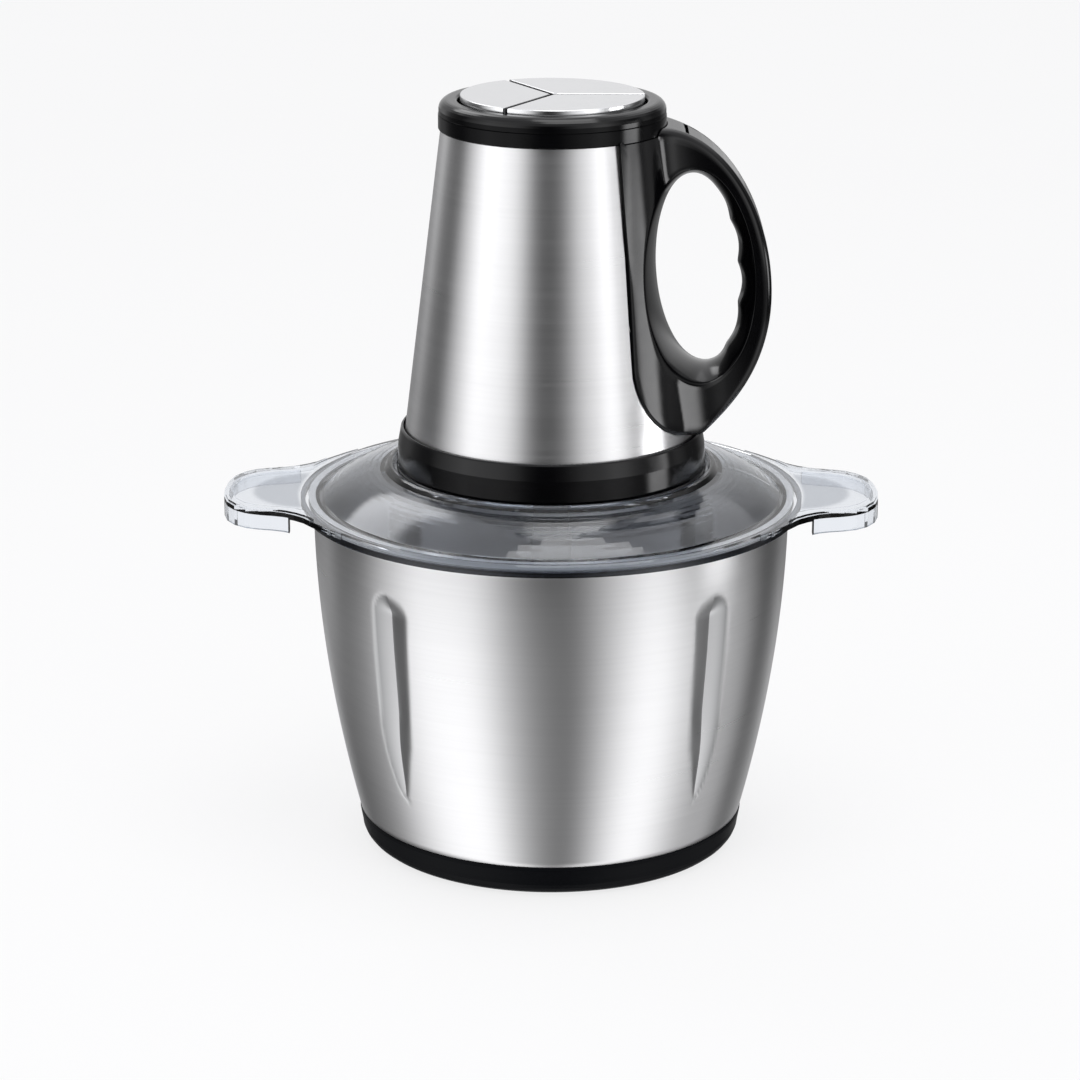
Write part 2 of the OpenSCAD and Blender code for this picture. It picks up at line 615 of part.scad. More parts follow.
// Gearbox: a sun gear drives three planets inside a fixed ring gear
function inv(a) = tan(a) - a * PI / 180;
function flank(rb, r) = inv(acos(min(1, rb / r)));
function tooth_half(r, t, cut) =
  let (rp = gear_m * t / 2, rb = rp * cos(20))
  (PI / (2 * t) - cut / (2 * rp) + inv(20) - flank(rb, max(r, rb))) * 180 / PI;
function tooth_rs(t, add, ded) =
  let (rp = gear_m * t / 2, lo = max(rp - ded, rp * cos(20) + 0.02),
    hi = rp + add) [for (i = [0:4]) lo + (hi - lo) * i / 4];
module outer_gear(t, cut) {
  rp = gear_m * t / 2;
  rs = tooth_rs(t, gear_m * 0.95, gear_m * 1.2);
  root = rp - gear_m * 1.2;
  polygon([for (k = [0:t - 1]) each concat(
    [polar(root, k * 360 / t - 180 / t * 0.86)],
    [polar(root, k * 360 / t - tooth_half(rs[0], t, cut) - 1.2)],
    [for (i = [0:4]) polar(rs[i], k * 360 / t - tooth_half(rs[i], t, cut))],
    [for (i = [4:-1:0]) polar(rs[i], k * 360 / t + tooth_half(rs[i], t, cut))],
    [polar(root, k * 360 / t + tooth_half(rs[0], t, cut) + 1.2)],
    [polar(root, k * 360 / t + 180 / t * 0.86)])]);
}
module inner_space(t, cut) {
  rp = gear_m * t / 2;
  lo = rp - gear_m * 0.9;
  hi = rp + gear_m * 1.2;
  polygon([for (k = [0:t - 1]) let (c = (k + 0.5) * 360 / t) each concat(
    [for (i = [0:4]) let (r = lo + (hi - lo) * i / 4) polar(r, c - tooth_half(r, t, -cut))],
    [for (i = [4:-1:0]) let (r = lo + (hi - lo) * i / 4) polar(r, c + tooth_half(r, t, -cut))])]);
}
module gearbox_housing() {
  color(cast) difference() {
    union() {
      translate([0, 0, bearing_z - 0.9]) cylinder(h = carrier_z - bearing_z + 0.6, r1 = 16,
        r2 = house_r);
      translate([0, 0, carrier_z - 0.4]) cylinder(h = cover_z - carrier_z + 0.4 - seat, r = house_r);
      for (a = [60, 180, 300]) hull() {
        rotate([0, 0, a]) translate([screw_ring, 0, cover_z - 4.4]) cylinder(h = 4.4 - seat, r = 3.4,
          $fn = 24);
        rotate([0, 0, a]) translate([house_r - 4, 0, cover_z - 4.4]) cylinder(h = 4.4 - seat, r = 4,
          $fn = 24);
      }
    }
    translate([0, 0, bearing_z]) cylinder(h = 40, r = 11);
    translate([0, 0, bearing_z - 2]) cylinder(h = 40, r = 9.2);
    translate([0, 0, carrier_z - 0.6]) cylinder(h = 40, r = orbit_r + 6.8);
    translate([0, 0, gear_z - 0.2]) cylinder(h = 40, r = ring_out_r + 0.02);
    for (a = [60, 180, 300]) rotate([0, 0, a]) translate([screw_ring, 0, cover_z - 14])
      cylinder(h = 30, r = 1.5, $fn = 24);
  }
}
module ring_gear() {
  color([0.2, 0.2, 0.21]) translate([0, 0, gear_z - 0.2 + seat]) linear_extrude(height = 10.2)
    difference() {
    circle(r = ring_out_r);
    inner_space(ring_t, backlash);
  }
}
module gearbox_cover() {
  color(cast) difference() {
    union() {
      translate([0, 0, cover_z]) cylinder(h = 2.2, r = house_r);
      translate([0, 0, cover_z]) cylinder(h = 3.6, r = 9);
      for (a = [60, 180, 300]) rotate([0, 0, a]) translate([screw_ring, 0, cover_z]) cylinder(h = 2.2,
        r = 3.4, $fn = 24);
    }
    translate([0, 0, cover_z - 1]) cylinder(h = 8, r = 3.1);
    for (a = [60, 180, 300]) rotate([0, 0, a]) translate([screw_ring, 0, cover_z - 4]) cylinder(h = 30,
      r = 1.5, $fn = 24);
  }
}
module gearbox_screws() {
  color(cast) for (a = [60, 180, 300]) rotate([0, 0, a]) translate([screw_ring, 0, 0])
    screw(cover_z - 13.5, cover_z + 2.2 + seat, 1.15, 2.3, 1.2);
}
module bearing(r_in, r_out, z, w) {
  mid = (r_in + r_out) / 2;
  ring(r_in, r_in + (r_out - r_in) * 0.3, z, w);
  ring(r_out - (r_out - r_in) * 0.26, r_out, z, w);
  ring(mid - (r_out - r_in) * 0.22, mid + (r_out - r_in) * 0.26, z + w * 0.3, w * 0.4);
}
module output_bearing() {
  color(steel) bearing(4 + run_gap, 10.98, bearing_z + seat, 7);
}
module shaft_seal() {
  color([0.12, 0.12, 0.13]) ring(4 + run_gap, 8.85, seal_z, 2.6);
}
module planet_carrier() {
  color(steel) difference() {
    union() {
      translate([0, 0, seal_z - 6.5]) cylinder(h = carrier_z - seal_z + 7, r = 4);
      translate([0, 0, carrier_z]) cylinder(h = 4, r = orbit_r + 5.6);
      translate([0, 0, carrier_z - 0.6]) cylinder(h = 1, r = 6);
    }
    for (a = [0, 120, 240]) rotate([0, 0, a]) translate([orbit_r, 0, carrier_z - 1]) cylinder(h = 8,
      r = 2, $fn = 40);
    translate([0, 0, seal_z - 0.9]) difference() {
      cylinder(h = 0.6, r = 5);
      translate([0, 0, -1]) cylinder(h = 3, r = 3.4);
    }
  }
}
module planet_pins() {
  color(steel) for (a = [0, 120, 240]) rotate([0, 0, a]) translate([orbit_r, 0, carrier_z]) {
    cylinder(h = 15, r = 2, $fn = 40);
    translate([0, 0, 14.4]) cylinder(h = 0.6, r = 2.7, $fn = 40);
  }
}
module planet(a) {
  color(white) rotate([0, 0, a]) translate([orbit_r, 0, gear_z]) difference() {
    linear_extrude(height = 9.6) rotate([0, 0, 180 / planet_t]) outer_gear(planet_t, backlash);
    translate([0, 0, -1]) cylinder(h = 12, r = 2 + run_gap, $fn = 40);
    translate([0, 0, 8.4]) cylinder(h = 3, r = 4.4, $fn = 48);
  }
}
module planet_gear_1() {
  planet(0);
}
module planet_gear_2() {
  planet(120);
}
module planet_gear_3() {
  planet(240);
}
module drive_clip() {
  color(steel) difference() {
    ring(3.45, 6, seal_z - 0.85, 0.5);
    box(0, 8, -2.2, 2.2, seal_z - 2, seal_z + 1);
  }
}
module drive_dog() {
  color([0.15, 0.15, 0.16]) difference() {
    union() {
      translate([0, 0, spindle_top - 7.6]) cylinder(h = 7.8, r = dog_r, $fn = 6);
      translate([0, 0, spindle_top - 0.9 + 1.1]) cylinder(h = seal_z - 1.3 - spindle_top, r = 7.2);
    }
    translate([0, 0, seal_z - 6.5]) cylinder(h = 10, r = 4);
  }
}

// Motor: laminated stator with two field coils, wound armature, commutator and brushes
module lower_bracket() {
  color(cast) difference() {
    union() {
      translate([0, 0, bracket_z]) cylinder(h = 6, r = 10.5);
      box(-7, 7, -post_y, post_y, bracket_z, bracket_z + 3);
      for (s = [-1, 1]) translate([0, s * post_y, bracket_z]) cylinder(h = 3, r = 7);
      for (s = [-1, 1]) translate([0, s * 22, bracket_z]) cylinder(h = stack_z - bracket_z - seat,
        r = 3.2, $fn = 32);
    }
    translate([0, 0, bracket_z - 1]) cylinder(h = 10, r = 4.2);
    translate([0, 0, bracket_z + 1]) cylinder(h = 10, r = 8);
    for (s = [-1, 1]) translate([0, s * post_y, bracket_z - 1]) cylinder(h = 8, r = 1.9, $fn = 24);
    for (s = [-1, 1]) translate([0, s * 22, bracket_z - 1]) cylinder(h = 30, r = 1.45, $fn = 24);
  }
}
module lower_bearing() {
  color(steel) bearing(2.5 + run_gap, 7.98, bracket_z + 1 + seat, 5);
}
module upper_bearing() {
  color(steel) bearing(2.5 + run_gap, 7.98, upper_bracket_z - 2.8, 5);
}
module motor_damper() {
  color(black) for (s = [-1, 1]) translate([0, s * post_y, 0]) ring(1.9, 4.6, bracket_z - 2, 2 - seat);
}
module base_screws() {
  color(cast) for (s = [-1, 1]) translate([0, s * post_y, 0]) screw(bracket_z - 14,
    bracket_z + 3 + seat, 1.35, 3.2, 1.8);
}
module motor_stator() {
  color([0.36, 0.36, 0.38]) translate([0, 0, stack_z]) difference() {
    linear_extrude(height = stack_h) difference() {
      intersection() {
        square([56, 52], center = true);
        circle(r = 32.5);
      }
      circle(r = bore_r);
      for (sx = [-1, 1], sy = [-1, 1]) translate([sx * 15.6, sy * 19.6]) square([13.6, 6.4],
        center = true);
    }
    for (s = [-1, 1]) translate([0, s * 22, -1]) cylinder(h = stack_h + 2, r = 1.7, $fn = 24);
  }
}
module field_coils() {
  z0 = stack_z - 5.6;
  z1 = stack_z + stack_h + 5.6;
  color(copper) for (s = [0, 180]) rotate([0, 0, s]) {
    for (sy = [-1, 1]) box(9.4, 21.8, sy * 19.6 - 2.7, sy * 19.6 + 2.7, z0, z1);
    for (z = [z0, z1 - 5]) difference() {
      box(9.4, 21.8, -22.3, 22.3, z, z + 5);
      translate([0, 0, z - 1]) cylinder(h = 8, r = bore_r + 0.3);
      translate([0, 0, z - 1]) for (sy = [-1, 1]) translate([0, sy * 22, 0]) cylinder(h = 8, r = 4.2,
        $fn = 32);
    }
  }
}
module motor_bolts() {
  color(cast) for (s = [-1, 1]) translate([0, s * 22, 0]) screw(bracket_z, upper_bracket_z + 3 + seat,
    1.4, 2.8, 1.6);
}
module upper_bracket() {
  color(cast) difference() {
    union() {
      translate([0, 0, upper_bracket_z - 3]) cylinder(h = 6, r = 10.5);
      box(-6, 6, -25, 25, upper_bracket_z, upper_bracket_z + 3);
      for (s = [-1, 1]) translate([0, s * 22, stack_z + stack_h + seat])
        cylinder(h = upper_bracket_z - stack_z - stack_h, r = 3.2, $fn = 32);
      for (s = [-1, 1]) box(s * 18 - 9, s * 18 + 9, -6, 6, upper_bracket_z, upper_bracket_z + 2);
    }
    translate([0, 0, upper_bracket_z - 4]) cylinder(h = 6.3, r = 8);
    translate([0, 0, upper_bracket_z - 4]) cylinder(h = 12, r = 3.4);
    for (s = [-1, 1]) translate([0, s * 22, stack_z]) cylinder(h = 80, r = 1.45, $fn = 24);
  }
}
module brush_holders() {
  color(brass) for (s = [0, 180]) rotate([0, 0, s]) {
    difference() {
      box(9.6, 24, -4, 4, comm_z + 1.8, comm_z + 9.2);
      box(9, 23, -3.1, 3.1, comm_z + 2.6, comm_z + 8.4);
    }
    box(13, 20, -4, 4, comm_z + 9.1, upper_bracket_z - seat);
  }
}
module carbon_brushes() {
  color([0.1, 0.1, 0.11]) for (s = [0, 180]) rotate([0, 0, s]) difference() {
    box(6, 20, -3, 3, comm_z + 2.7, comm_z + 8.3);
    translate([0, 0, comm_z]) cylinder(h = 12, r = 8 + run_gap);
  }
}
module motor_shaft() {
  color(steel) translate([0, 0, gear_z + 0.4]) cylinder(h = shaft_top - gear_z - 4.4, r = 2.5,
    $fn = 48);
}
module armature_core() {
  color([0.42, 0.42, 0.44]) translate([0, 0, stack_z]) linear_extrude(height = stack_h) difference() {
    circle(r = core_r);
    circle(r = 2.5);
    for (k = [0:11]) rotate([0, 0, k * 30]) union() {
      translate([12.2, 0]) circle(r = 1.7, $fn = 24);
      translate([14, 0]) square([4, 1.2], center = true);
    }
  }
}
module armature_winding() {
  color(copper) {
    for (z = [stack_z - 5.4, stack_z + stack_h + 0.2]) rotate_extrude() translate([0, z]) polygon([
      [2.6, 0.6], [9, 0.3], [12.6, 1], [13.9, 2.6], [13.9, 4.2], [13.4, 5.2], [2.6, 5.2]]);
    for (k = [0:11]) rotate([0, 0, k * 30]) translate([12.2, 0, stack_z - 1.5])
      cylinder(h = stack_h + 3, r = 1.55, $fn = 20);
  }
}
module commutator() {
  color(copper) translate([0, 0, comm_z]) linear_extrude(height = 9.8) difference() {
    circle(r = 8);
    circle(r = 2.5);
    for (k = [0:11]) rotate([0, 0, k * 30 + 15]) translate([8, 0]) square([2.4, 0.5], center = true);
  }
}
module cooling_fan() {
  color([0.18, 0.18, 0.2]) difference() {
    union() {
      ring(2.5, 6, fan_z, 8.6);
      ring(2.5, fan_r, fan_z, 1.2);
      for (k = [0:14]) rotate([0, 0, k * 24]) box(10, fan_r - 0.5, -0.6, 0.6, fan_z + 1, fan_z + 8);
    }
  }
}
module sun_gear() {
  color(brass) translate([0, 0, gear_z]) difference() {
    linear_extrude(height = 10.6) outer_gear(sun_t, backlash);
    translate([0, 0, -1]) cylinder(h = 14, r = 2.5, $fn = 48);
  }
}

// Switches: a bracket under the collar floor carries one microswitch for each button
board_z = top_z - 24 * room;
module switch_bracket() {
  color([0.2, 0.2, 0.22]) difference() {
    union() {
      intersection() {
        translate([0, 0, top_z - 10]) cylinder(h = 2 - seat, r = button_r - 2);
        box(-50, flat_x - 2, -50, 50, 0, 400);
      }
      for (a = [90, 210, 330]) rotate([0, 0, a]) translate([24, 0, board_z + 1.6 + seat])
        cylinder(h = top_z - 10 - board_z - 1.6, r = 2.4, $fn = 32);
    }
    for (a = [0:120:240]) rotate([0, 0, a]) translate([0, 0, top_z - 12]) cylinder(h = 6, r = 7);
  }
}
module microswitches() {
  color([0.14, 0.14, 0.15]) button_turns() {
    box(15, 21, -6.4, 6.4, top_z - 8, top_z - 2.4);
    translate([18, 0, top_z - 2.5]) cylinder(h = 1, r = 1.3, $fn = 24);
  }
}
module control_board() {
  color([0.06, 0.3, 0.16]) intersection() {
    translate([0, 0, board_z]) cylinder(h = 1.6, r = 34);
    box(-50, flat_x - 2, -50, 50, 0, 400);
  }
}
module run_capacitor() {
  color([0.75, 0.55, 0.12]) box(-22, -6, -4, 4, board_z + 1.6 + seat, board_z + 12);
}

// Buttons: three chrome sectors on stems, each on its own coil spring
module spring(a) {
  turns = 3;
  steps = 16;
  n = turns * steps;
  low = top_z + 3.9;
  high = collar_z - 4.4;
  sides = 6;
  path_r = 5;
  wire = 0.35;
  points = [for (i = [0:n]) let (t = i * 360 / steps, z = low + (high - low) * i / n)
    for (k = [0:sides - 1]) let (r = path_r + wire * cos(k * 60)) [r * cos(t), r * sin(t),
      z + wire * sin(k * 60)]];
  color(steel) rotate([0, 0, a]) translate([18, 0, 0]) polyhedron(points = points, faces = concat(
    [[for (k = [0:sides - 1]) k]],
    [for (i = [0:n - 1], k = [0:sides - 1]) let (p = i * sides + k, q = i * sides + (k + 1) % sides)
      each [[p, p + sides, q + sides], [p, q + sides, q]]],
    [[for (k = [sides - 1:-1:0]) n * sides + k]]));
}
module button_spring_1() {
  spring(60);
}
module button_spring_2() {
  spring(180);
}
module button_spring_3() {
  spring(300);
}
module button(a) {
  side = button_gap / 2 / sin(60);
  color(chrome) rotate([0, 0, a]) {
    intersection() {
      rotate_extrude() polygon(concat(
        [[0, collar_z - 4], [button_r, collar_z - 4]],
        [for (k = [0:15:90]) [button_r - 1.6 + 1.6 * cos(k), button_z - 1.6 + 1.6 * sin(k)]],
        [[0, button_z]]));
      translate([side, 0, collar_z - 5]) linear_extrude(height = 12)
        polygon([[0, 0], polar(50, -60), [70, -40], [70, 40], polar(50, 60)]);
    }
    translate([18, 0, top_z - 1.5 + button_travel + 0.1])
      cylinder(h = collar_z - top_z - 2.5 - button_travel, r = 3.3, $fn = 40);
  }
}
module button_1() {
  button(60);
}
module button_2() {
  button(180);
}
module button_3() {
  button(300);
}

bowl_shell();
bowl_pin();
base_boot();
blade_spindle();
spindle_bush();
lower_blade();
blade_spacer();
upper_blade();
blade_cap();
lid();
lid_seal();
head_base();
motor_shell();
handle_body();
handle_back_strip();
handle_screws();
collar_band();
top_collar();
collar_screws();
cord_gland();
gearbox_housing();
gearbox_cover();
gearbox_screws();
ring_gear();
output_bearing();
shaft_seal();
lower_bracket();
base_screws();
motor_damper();
motor_stator();
field_coils();
motor_bolts();
upper_bracket();
lower_bearing();
upper_bearing();
brush_holders();
carbon_brushes();
switch_bracket();
microswitches();
control_board();
run_capacitor();
button_spring_1();
button_spring_2();
button_spring_3();
motor_shaft();
armature_core();
armature_winding();
commutator();
cooling_fan();
sun_gear();
planet_carrier();
planet_pins();
drive_clip();
drive_dog();
planet_gear_1();
planet_gear_2();
planet_gear_3();
button_1();
button_2();
button_3();
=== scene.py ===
import math

import bmesh
import bpy
import numpy as np
from mathutils import Matrix


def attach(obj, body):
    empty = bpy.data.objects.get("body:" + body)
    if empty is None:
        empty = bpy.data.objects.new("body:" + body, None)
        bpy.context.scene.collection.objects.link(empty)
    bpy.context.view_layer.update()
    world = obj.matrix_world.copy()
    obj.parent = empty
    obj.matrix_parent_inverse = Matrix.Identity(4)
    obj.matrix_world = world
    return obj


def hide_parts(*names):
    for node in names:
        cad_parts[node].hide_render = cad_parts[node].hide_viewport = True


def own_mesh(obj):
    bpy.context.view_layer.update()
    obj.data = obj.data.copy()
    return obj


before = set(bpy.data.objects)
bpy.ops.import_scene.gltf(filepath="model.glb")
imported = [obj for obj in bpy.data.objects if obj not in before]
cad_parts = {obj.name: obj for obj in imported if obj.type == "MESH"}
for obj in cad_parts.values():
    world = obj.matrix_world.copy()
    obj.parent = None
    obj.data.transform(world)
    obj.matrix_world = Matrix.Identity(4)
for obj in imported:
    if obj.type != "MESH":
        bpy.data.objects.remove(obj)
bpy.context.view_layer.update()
MM = 0.001

# The picture: a camera in front of the chopper and a little above it, a pale floor, and soft studio
# light. The studio's walls are softboxes with dark gaps between them, and the steel and the gloss
# plastic mirror them.
scene = bpy.context.scene
scene.view_settings.view_transform = "Standard"
FRAME_PIXELS = 1080
FOCAL_PIXELS = 3605.67
AXIS_PIXEL = 551.0
lens = bpy.data.cameras.new("camera")
lens.sensor_width = 36
lens.lens = FOCAL_PIXELS * lens.sensor_width / FRAME_PIXELS
lens.shift_x = (FRAME_PIXELS / 2 - AXIS_PIXEL) / FRAME_PIXELS
lens.clip_start = 0.05
camera = bpy.data.objects.new("camera", lens)
scene.collection.objects.link(camera)
camera_tilt, camera_roll = math.radians(72.7395), math.radians(0.19)
camera.location = (0, -1.32435, 0.52908)
camera.rotation_euler = (
    Matrix.Rotation(camera_tilt, 3, "X") @ Matrix.Rotation(camera_roll, 3, "Z")
).to_euler()
scene.camera = camera


class Lead:
    """An output socket of a node tree. Arithmetic on it adds Math nodes, and node() adds any other node."""

    def __init__(self, tree, socket=None):
        self.tree = tree
        self.socket = socket

    def node(self, kind, settings=None, sockets=None, output=0):
        made = self.tree.nodes.new(kind)
        for name, value in (settings or {}).items():
            if name == "stops":
                ramp = made.color_ramp
                while len(ramp.elements) < len(value):
                    ramp.elements.new(0.5)
                for element, (place, colour) in zip(ramp.elements, value):
                    element.position = place
                    element.color = colour
            else:
                setattr(made, name, value)
        for name, value in (sockets or {}).items():
            if isinstance(value, Lead):
                self.tree.links.new(value.socket, made.inputs[name])
            else:
                made.inputs[name].default_value = value
        return Lead(self.tree, made.outputs[output] if made.outputs else None)

    def math(self, operation, *values):
        return self.node("ShaderNodeMath", {"operation": operation}, dict(enumerate(values)))

    def __add__(self, other):
        return self.math("ADD", self, other)

    def __sub__(self, other):
        return self.math("SUBTRACT", self, other)

    def __rsub__(self, other):
        return self.math("SUBTRACT", other, self)

    def __mul__(self, other):
        return self.math("MULTIPLY", self, other)

    def __rmul__(self, other):
        return self.math("MULTIPLY", other, self)

    def blend(self, first, second):
        """A colour from first to second, by this lead."""
        return self.node("ShaderNodeMix", {"data_type": "RGBA"}, {0: self, 6: first, 7: second}, 2)

    def step(self, low, high):
        """Rises smoothly from 0 at low to 1 at high."""
        return self.node(
            "ShaderNodeMapRange",
            {"interpolation_type": "SMOOTHSTEP"},
            {"Value": self, "From Min": low, "From Max": high},
        )


studio = bpy.data.worlds.new("studio")
scene.world = studio
studio.use_nodes = True
studio.node_tree.nodes.clear()
sky = Lead(studio.node_tree)
way = sky.node("ShaderNodeTexCoord")
east = sky.node("ShaderNodeSeparateXYZ", sockets={0: way})
north = Lead(sky.tree, east.socket.node.outputs["Y"])
rise = Lead(sky.tree, east.socket.node.outputs["Z"])
turn_round = sky.math("ARCTAN2", east, -1 * north) * (1 / math.tau) + 0.5


def on_ring(turn):
    """Place on the ring of walls, from 0 to 1, of a turn from the camera's side in degrees."""
    return 0.5 + turn / 360


def ring_of(*walls):
    """The brightness of the studio's walls, from its value at each turn."""
    stops = [(on_ring(turn), (light, light, light * 1.01, 1)) for turn, light in walls]
    return sky.node("ShaderNodeValToRGB", {"stops": stops}, {0: turn_round})


def between(lead, low, high, soft):
    """1 between the two values, falling to 0 over the soft width on each side."""
    return lead.step(low - soft, low) - lead.step(high, high + soft)


level_walls = ring_of(
    (-180, 0.8), (-150, 0.5), (-139, 0.68), (-124, 0.22), (-111, 0.12), (-101, 0.14), (-91, 0.55),
    (-80, 0.98), (-67, 1.55), (-52, 1.35), (-38, 1.15), (-28, 0.75), (-18, 0.2), (-10, 0.03),
    (1, 0.03), (9, 0.12), (17, 0.4), (27, 0.82), (38, 1.05), (48, 1.6), (56, 1.4), (64, 0.8),
    (76, 0.22), (95, 0.08),
    (106, 0.42), (122, 0.1), (138, 0.1), (152, 0.5), (180, 0.8),
)
low_walls = ring_of(
    (-180, 0.6), (-147, 0.08), (-124, 0.2), (-108, 0.32), (-88, 0.85), (-71, 1.2), (-52, 1.27), (-42, 1.25),
    (-33, 0.98), (-24, 0.65), (-15, 0.42), (-7, 0.27), (4, 0.17), (12, 0.13), (20, 0.28), (28, 0.52),
    (37, 0.85), (46, 1.15), (57, 1.28), (66, 1.2), (76, 0.9), (95, 0.4), (113, 0.5), (131, 0.09),
    (146, 0.2), (160, 0.4), (180, 0.6),
)
wall_light = rise.step(-0.42, -0.3).blend(low_walls, level_walls)
right_box = between(turn_round, on_ring(80), on_ring(92), 0.018) * between(rise, -0.18, -0.05, 0.04)
rear_left = between(turn_round, on_ring(-160), on_ring(-130), 0.04)
rear_right = between(turn_round, on_ring(130), on_ring(160), 0.04)
boxes = right_box * 5.5 + (rear_left * 2.3 + rear_right * 0.4) * between(rise, 0.52, 0.72, 0.06)
belt = between(rise, -0.3, -0.16, 0.06)
wall_light = (belt * 0.7).blend(wall_light, (0.02, 0.02, 0.02, 1))
seen = rise.step(0.3, 0.75).blend(wall_light, (0.9, 0.9, 0.92, 1))
seen = sky.node(
    "ShaderNodeMix", {"data_type": "RGBA", "blend_type": "ADD", "clamp_factor": False},
    {0: boxes, 6: seen, 7: (1, 1, 1.01, 1)}, 2,
)
backdrop = sky.node("ShaderNodeLightPath").blend(seen, (0.93, 0.93, 0.94, 1))
light = sky.node("ShaderNodeBackground", sockets={0: backdrop, 1: 1.0})
sky.node("ShaderNodeOutputWorld", sockets={"Surface": light})


def start(name):
    """A new material and the lead that starts its nodes."""
    made = bpy.data.materials.new(name)
    made.use_nodes = True
    return made, Lead(made.node_tree)


def surface(material, relief=None, depth=0.02, **values):
    """Sets the surface shader's sockets, and a bump of the relief, its depth in millimetres."""
    shader = material.node_tree.nodes["Principled BSDF"]
    if relief:
        values["Normal"] = relief.node(
            "ShaderNodeBump", sockets={"Distance": depth * MM, "Height": relief}
        )
    for name, value in values.items():
        socket = shader.inputs[name.replace("_", " ")]
        if isinstance(value, Lead):
            material.node_tree.links.new(value.socket, socket)
        else:
            socket.default_value = value
    return material


def grain(tool, scale, detail=3):
    """A noise pattern in the piece's own space, with that many cells per metre along each axis."""
    place = tool.node("ShaderNodeMapping", sockets={
        "Vector": tool.node("ShaderNodeTexCoord", output="Object"), "Scale": scale,
    })
    return tool.node("ShaderNodeTexNoise", sockets={"Vector": place, "Scale": 1.0, "Detail": detail})


def own_place(tool):
    """A point's own x, y and z in metres, and its distance from the axis."""
    x = tool.node(
        "ShaderNodeSeparateXYZ", sockets={0: tool.node("ShaderNodeTexCoord", output="Object")}
    )
    y, z = (Lead(tool.tree, x.socket.node.outputs[name]) for name in "YZ")
    return x, y, z, tool.math("SQRT", x * x + y * y)


def dress(material, *nodes):
    """Gives CAD nodes a material."""
    for node in nodes:
        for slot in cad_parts[node].material_slots:
            slot.material = material


bpy.ops.object.select_all(action="DESELECT")
bpy.ops.mesh.primitive_circle_add(vertices=96, radius=9, fill_type="NGON")
floor = bpy.context.active_object
floor.name = "floor"
bpy.ops.object.mode_set(mode="EDIT")
bpy.ops.mesh.inset(thickness=8)
bpy.ops.object.mode_set(mode="OBJECT")
floor_paint, tool = start("floor_paint")
cloud = grain(tool, (3, 3, 3))
surface(
    floor_paint,
    Base_Color=cloud.blend((0.15, 0.15, 0.15, 1), (0.16, 0.16, 0.16, 1)), Roughness=0.9,
    Specular_IOR_Level=0.0, Emission_Color=(1, 1, 1.005, 1), Emission_Strength=0.79,
)
floor.data.materials.append(floor_paint)
floor.visible_glossy = False

bpy.ops.object.light_add(type="AREA", location=(0.2, -0.3, 1.5))
top_light = bpy.context.active_object
top_light.name = "top_light"
top_light.data.shape = "DISK"
top_light.data.size = 1.1
top_light.data.energy = 9
top_light.rotation_euler = (math.radians(-12), math.radians(8), 0)


# The bowl: one pressed steel cup, brushed round its axis, with a rolled rim and four flutes pressed in.
# Each flute has a round top and a point below. A crease parts its flank, on the side of the front or
# back, from the bed beyond it, and both are painted darker as shade in the hollow.
BOWL_COLUMNS = 540
rim_r, rim_z = 90.8, 133.4
foot_r, foot_z = 74.4, 12.6
wall_rows = (0, 46, 60, 64)
row_heights = (foot_z, 104, 121, rim_z)
curl_x, curl_r = 91.4, 0.6


def wall_radius(z):
    """Radius of the bowl's wall at a height."""
    return rim_r - (rim_r - foot_r) * ((rim_z - z) / (rim_z - foot_z)) ** 1.9


def turned(name, stations, columns):
    """A turned piece: a ring at the first station, extruded and resized to each further radius and height."""
    bpy.ops.object.select_all(action="DESELECT")
    radius, height = stations[0]
    bpy.ops.mesh.primitive_circle_add(
        vertices=columns, radius=radius * MM, location=(0, 0, height * MM)
    )
    bpy.ops.object.transform_apply()
    piece = bpy.context.active_object
    piece.name = name
    bpy.ops.object.mode_set(mode="EDIT")
    for next_radius, next_height in stations[1:]:
        bpy.ops.mesh.extrude_region_move(
            TRANSFORM_OT_translate={"value": (0, 0, (next_height - height) * MM)}
        )
        share = next_radius / radius
        bpy.ops.transform.resize(value=(share, share, 1), center_override=(0, 0, next_height * MM))
        radius, height = next_radius, next_height
    return piece


def finished(piece, angle=35):
    """Leaves edit mode with normals outwards and the piece shaded smooth up to that angle."""
    bpy.ops.mesh.select_all(action="SELECT")
    bpy.ops.mesh.normals_make_consistent(inside=False)
    bpy.ops.object.mode_set(mode="OBJECT")
    bpy.ops.object.shade_smooth_by_angle(angle=math.radians(angle))
    return piece


def modifier(piece, kind, **settings):
    """Adds a modifier to the piece and applies it."""
    bpy.context.view_layer.objects.active = piece
    made = piece.modifiers.new(kind.lower(), kind)
    for name, value in settings.items():
        setattr(made, name, value)
    bpy.ops.object.modifier_apply(modifier=made.name)


bottom = [
    (6, 2.6), (40, 2.6), (64.9, 2.6), (67, 2.9), (69.2, 3.9), (71, 5.4), (72.2, 7.4), (72.7, 9.6),
    (72.9, 11.4),
]
wall_heights = np.interp(range(wall_rows[-1] + 1), wall_rows, row_heights).tolist()
curl = [
    (curl_x - curl_r * math.cos(a), rim_z + curl_r * math.sin(a))
    for a in np.radians([35, 70, 105, 140, 180, 225])
]
bowl = turned(
    "bowl_shell_pressed", bottom + [(wall_radius(z), z) for z in wall_heights] + curl, BOWL_COLUMNS
)
bpy.ops.mesh.select_all(action="DESELECT")
bpy.ops.mesh.select_non_manifold()
mesh = bmesh.from_edit_mesh(bowl.data)
for vert in mesh.verts:
    vert.select = vert.select and vert.co.z < 3 * MM
mesh.select_flush_mode()
bpy.ops.mesh.edge_face_add()
finished(bowl, 60)
bpy.ops.object.mode_set(mode="EDIT")
bpy.ops.mesh.select_all(action="SELECT")
bpy.ops.mesh.flip_normals()
bpy.ops.object.mode_set(mode="OBJECT")

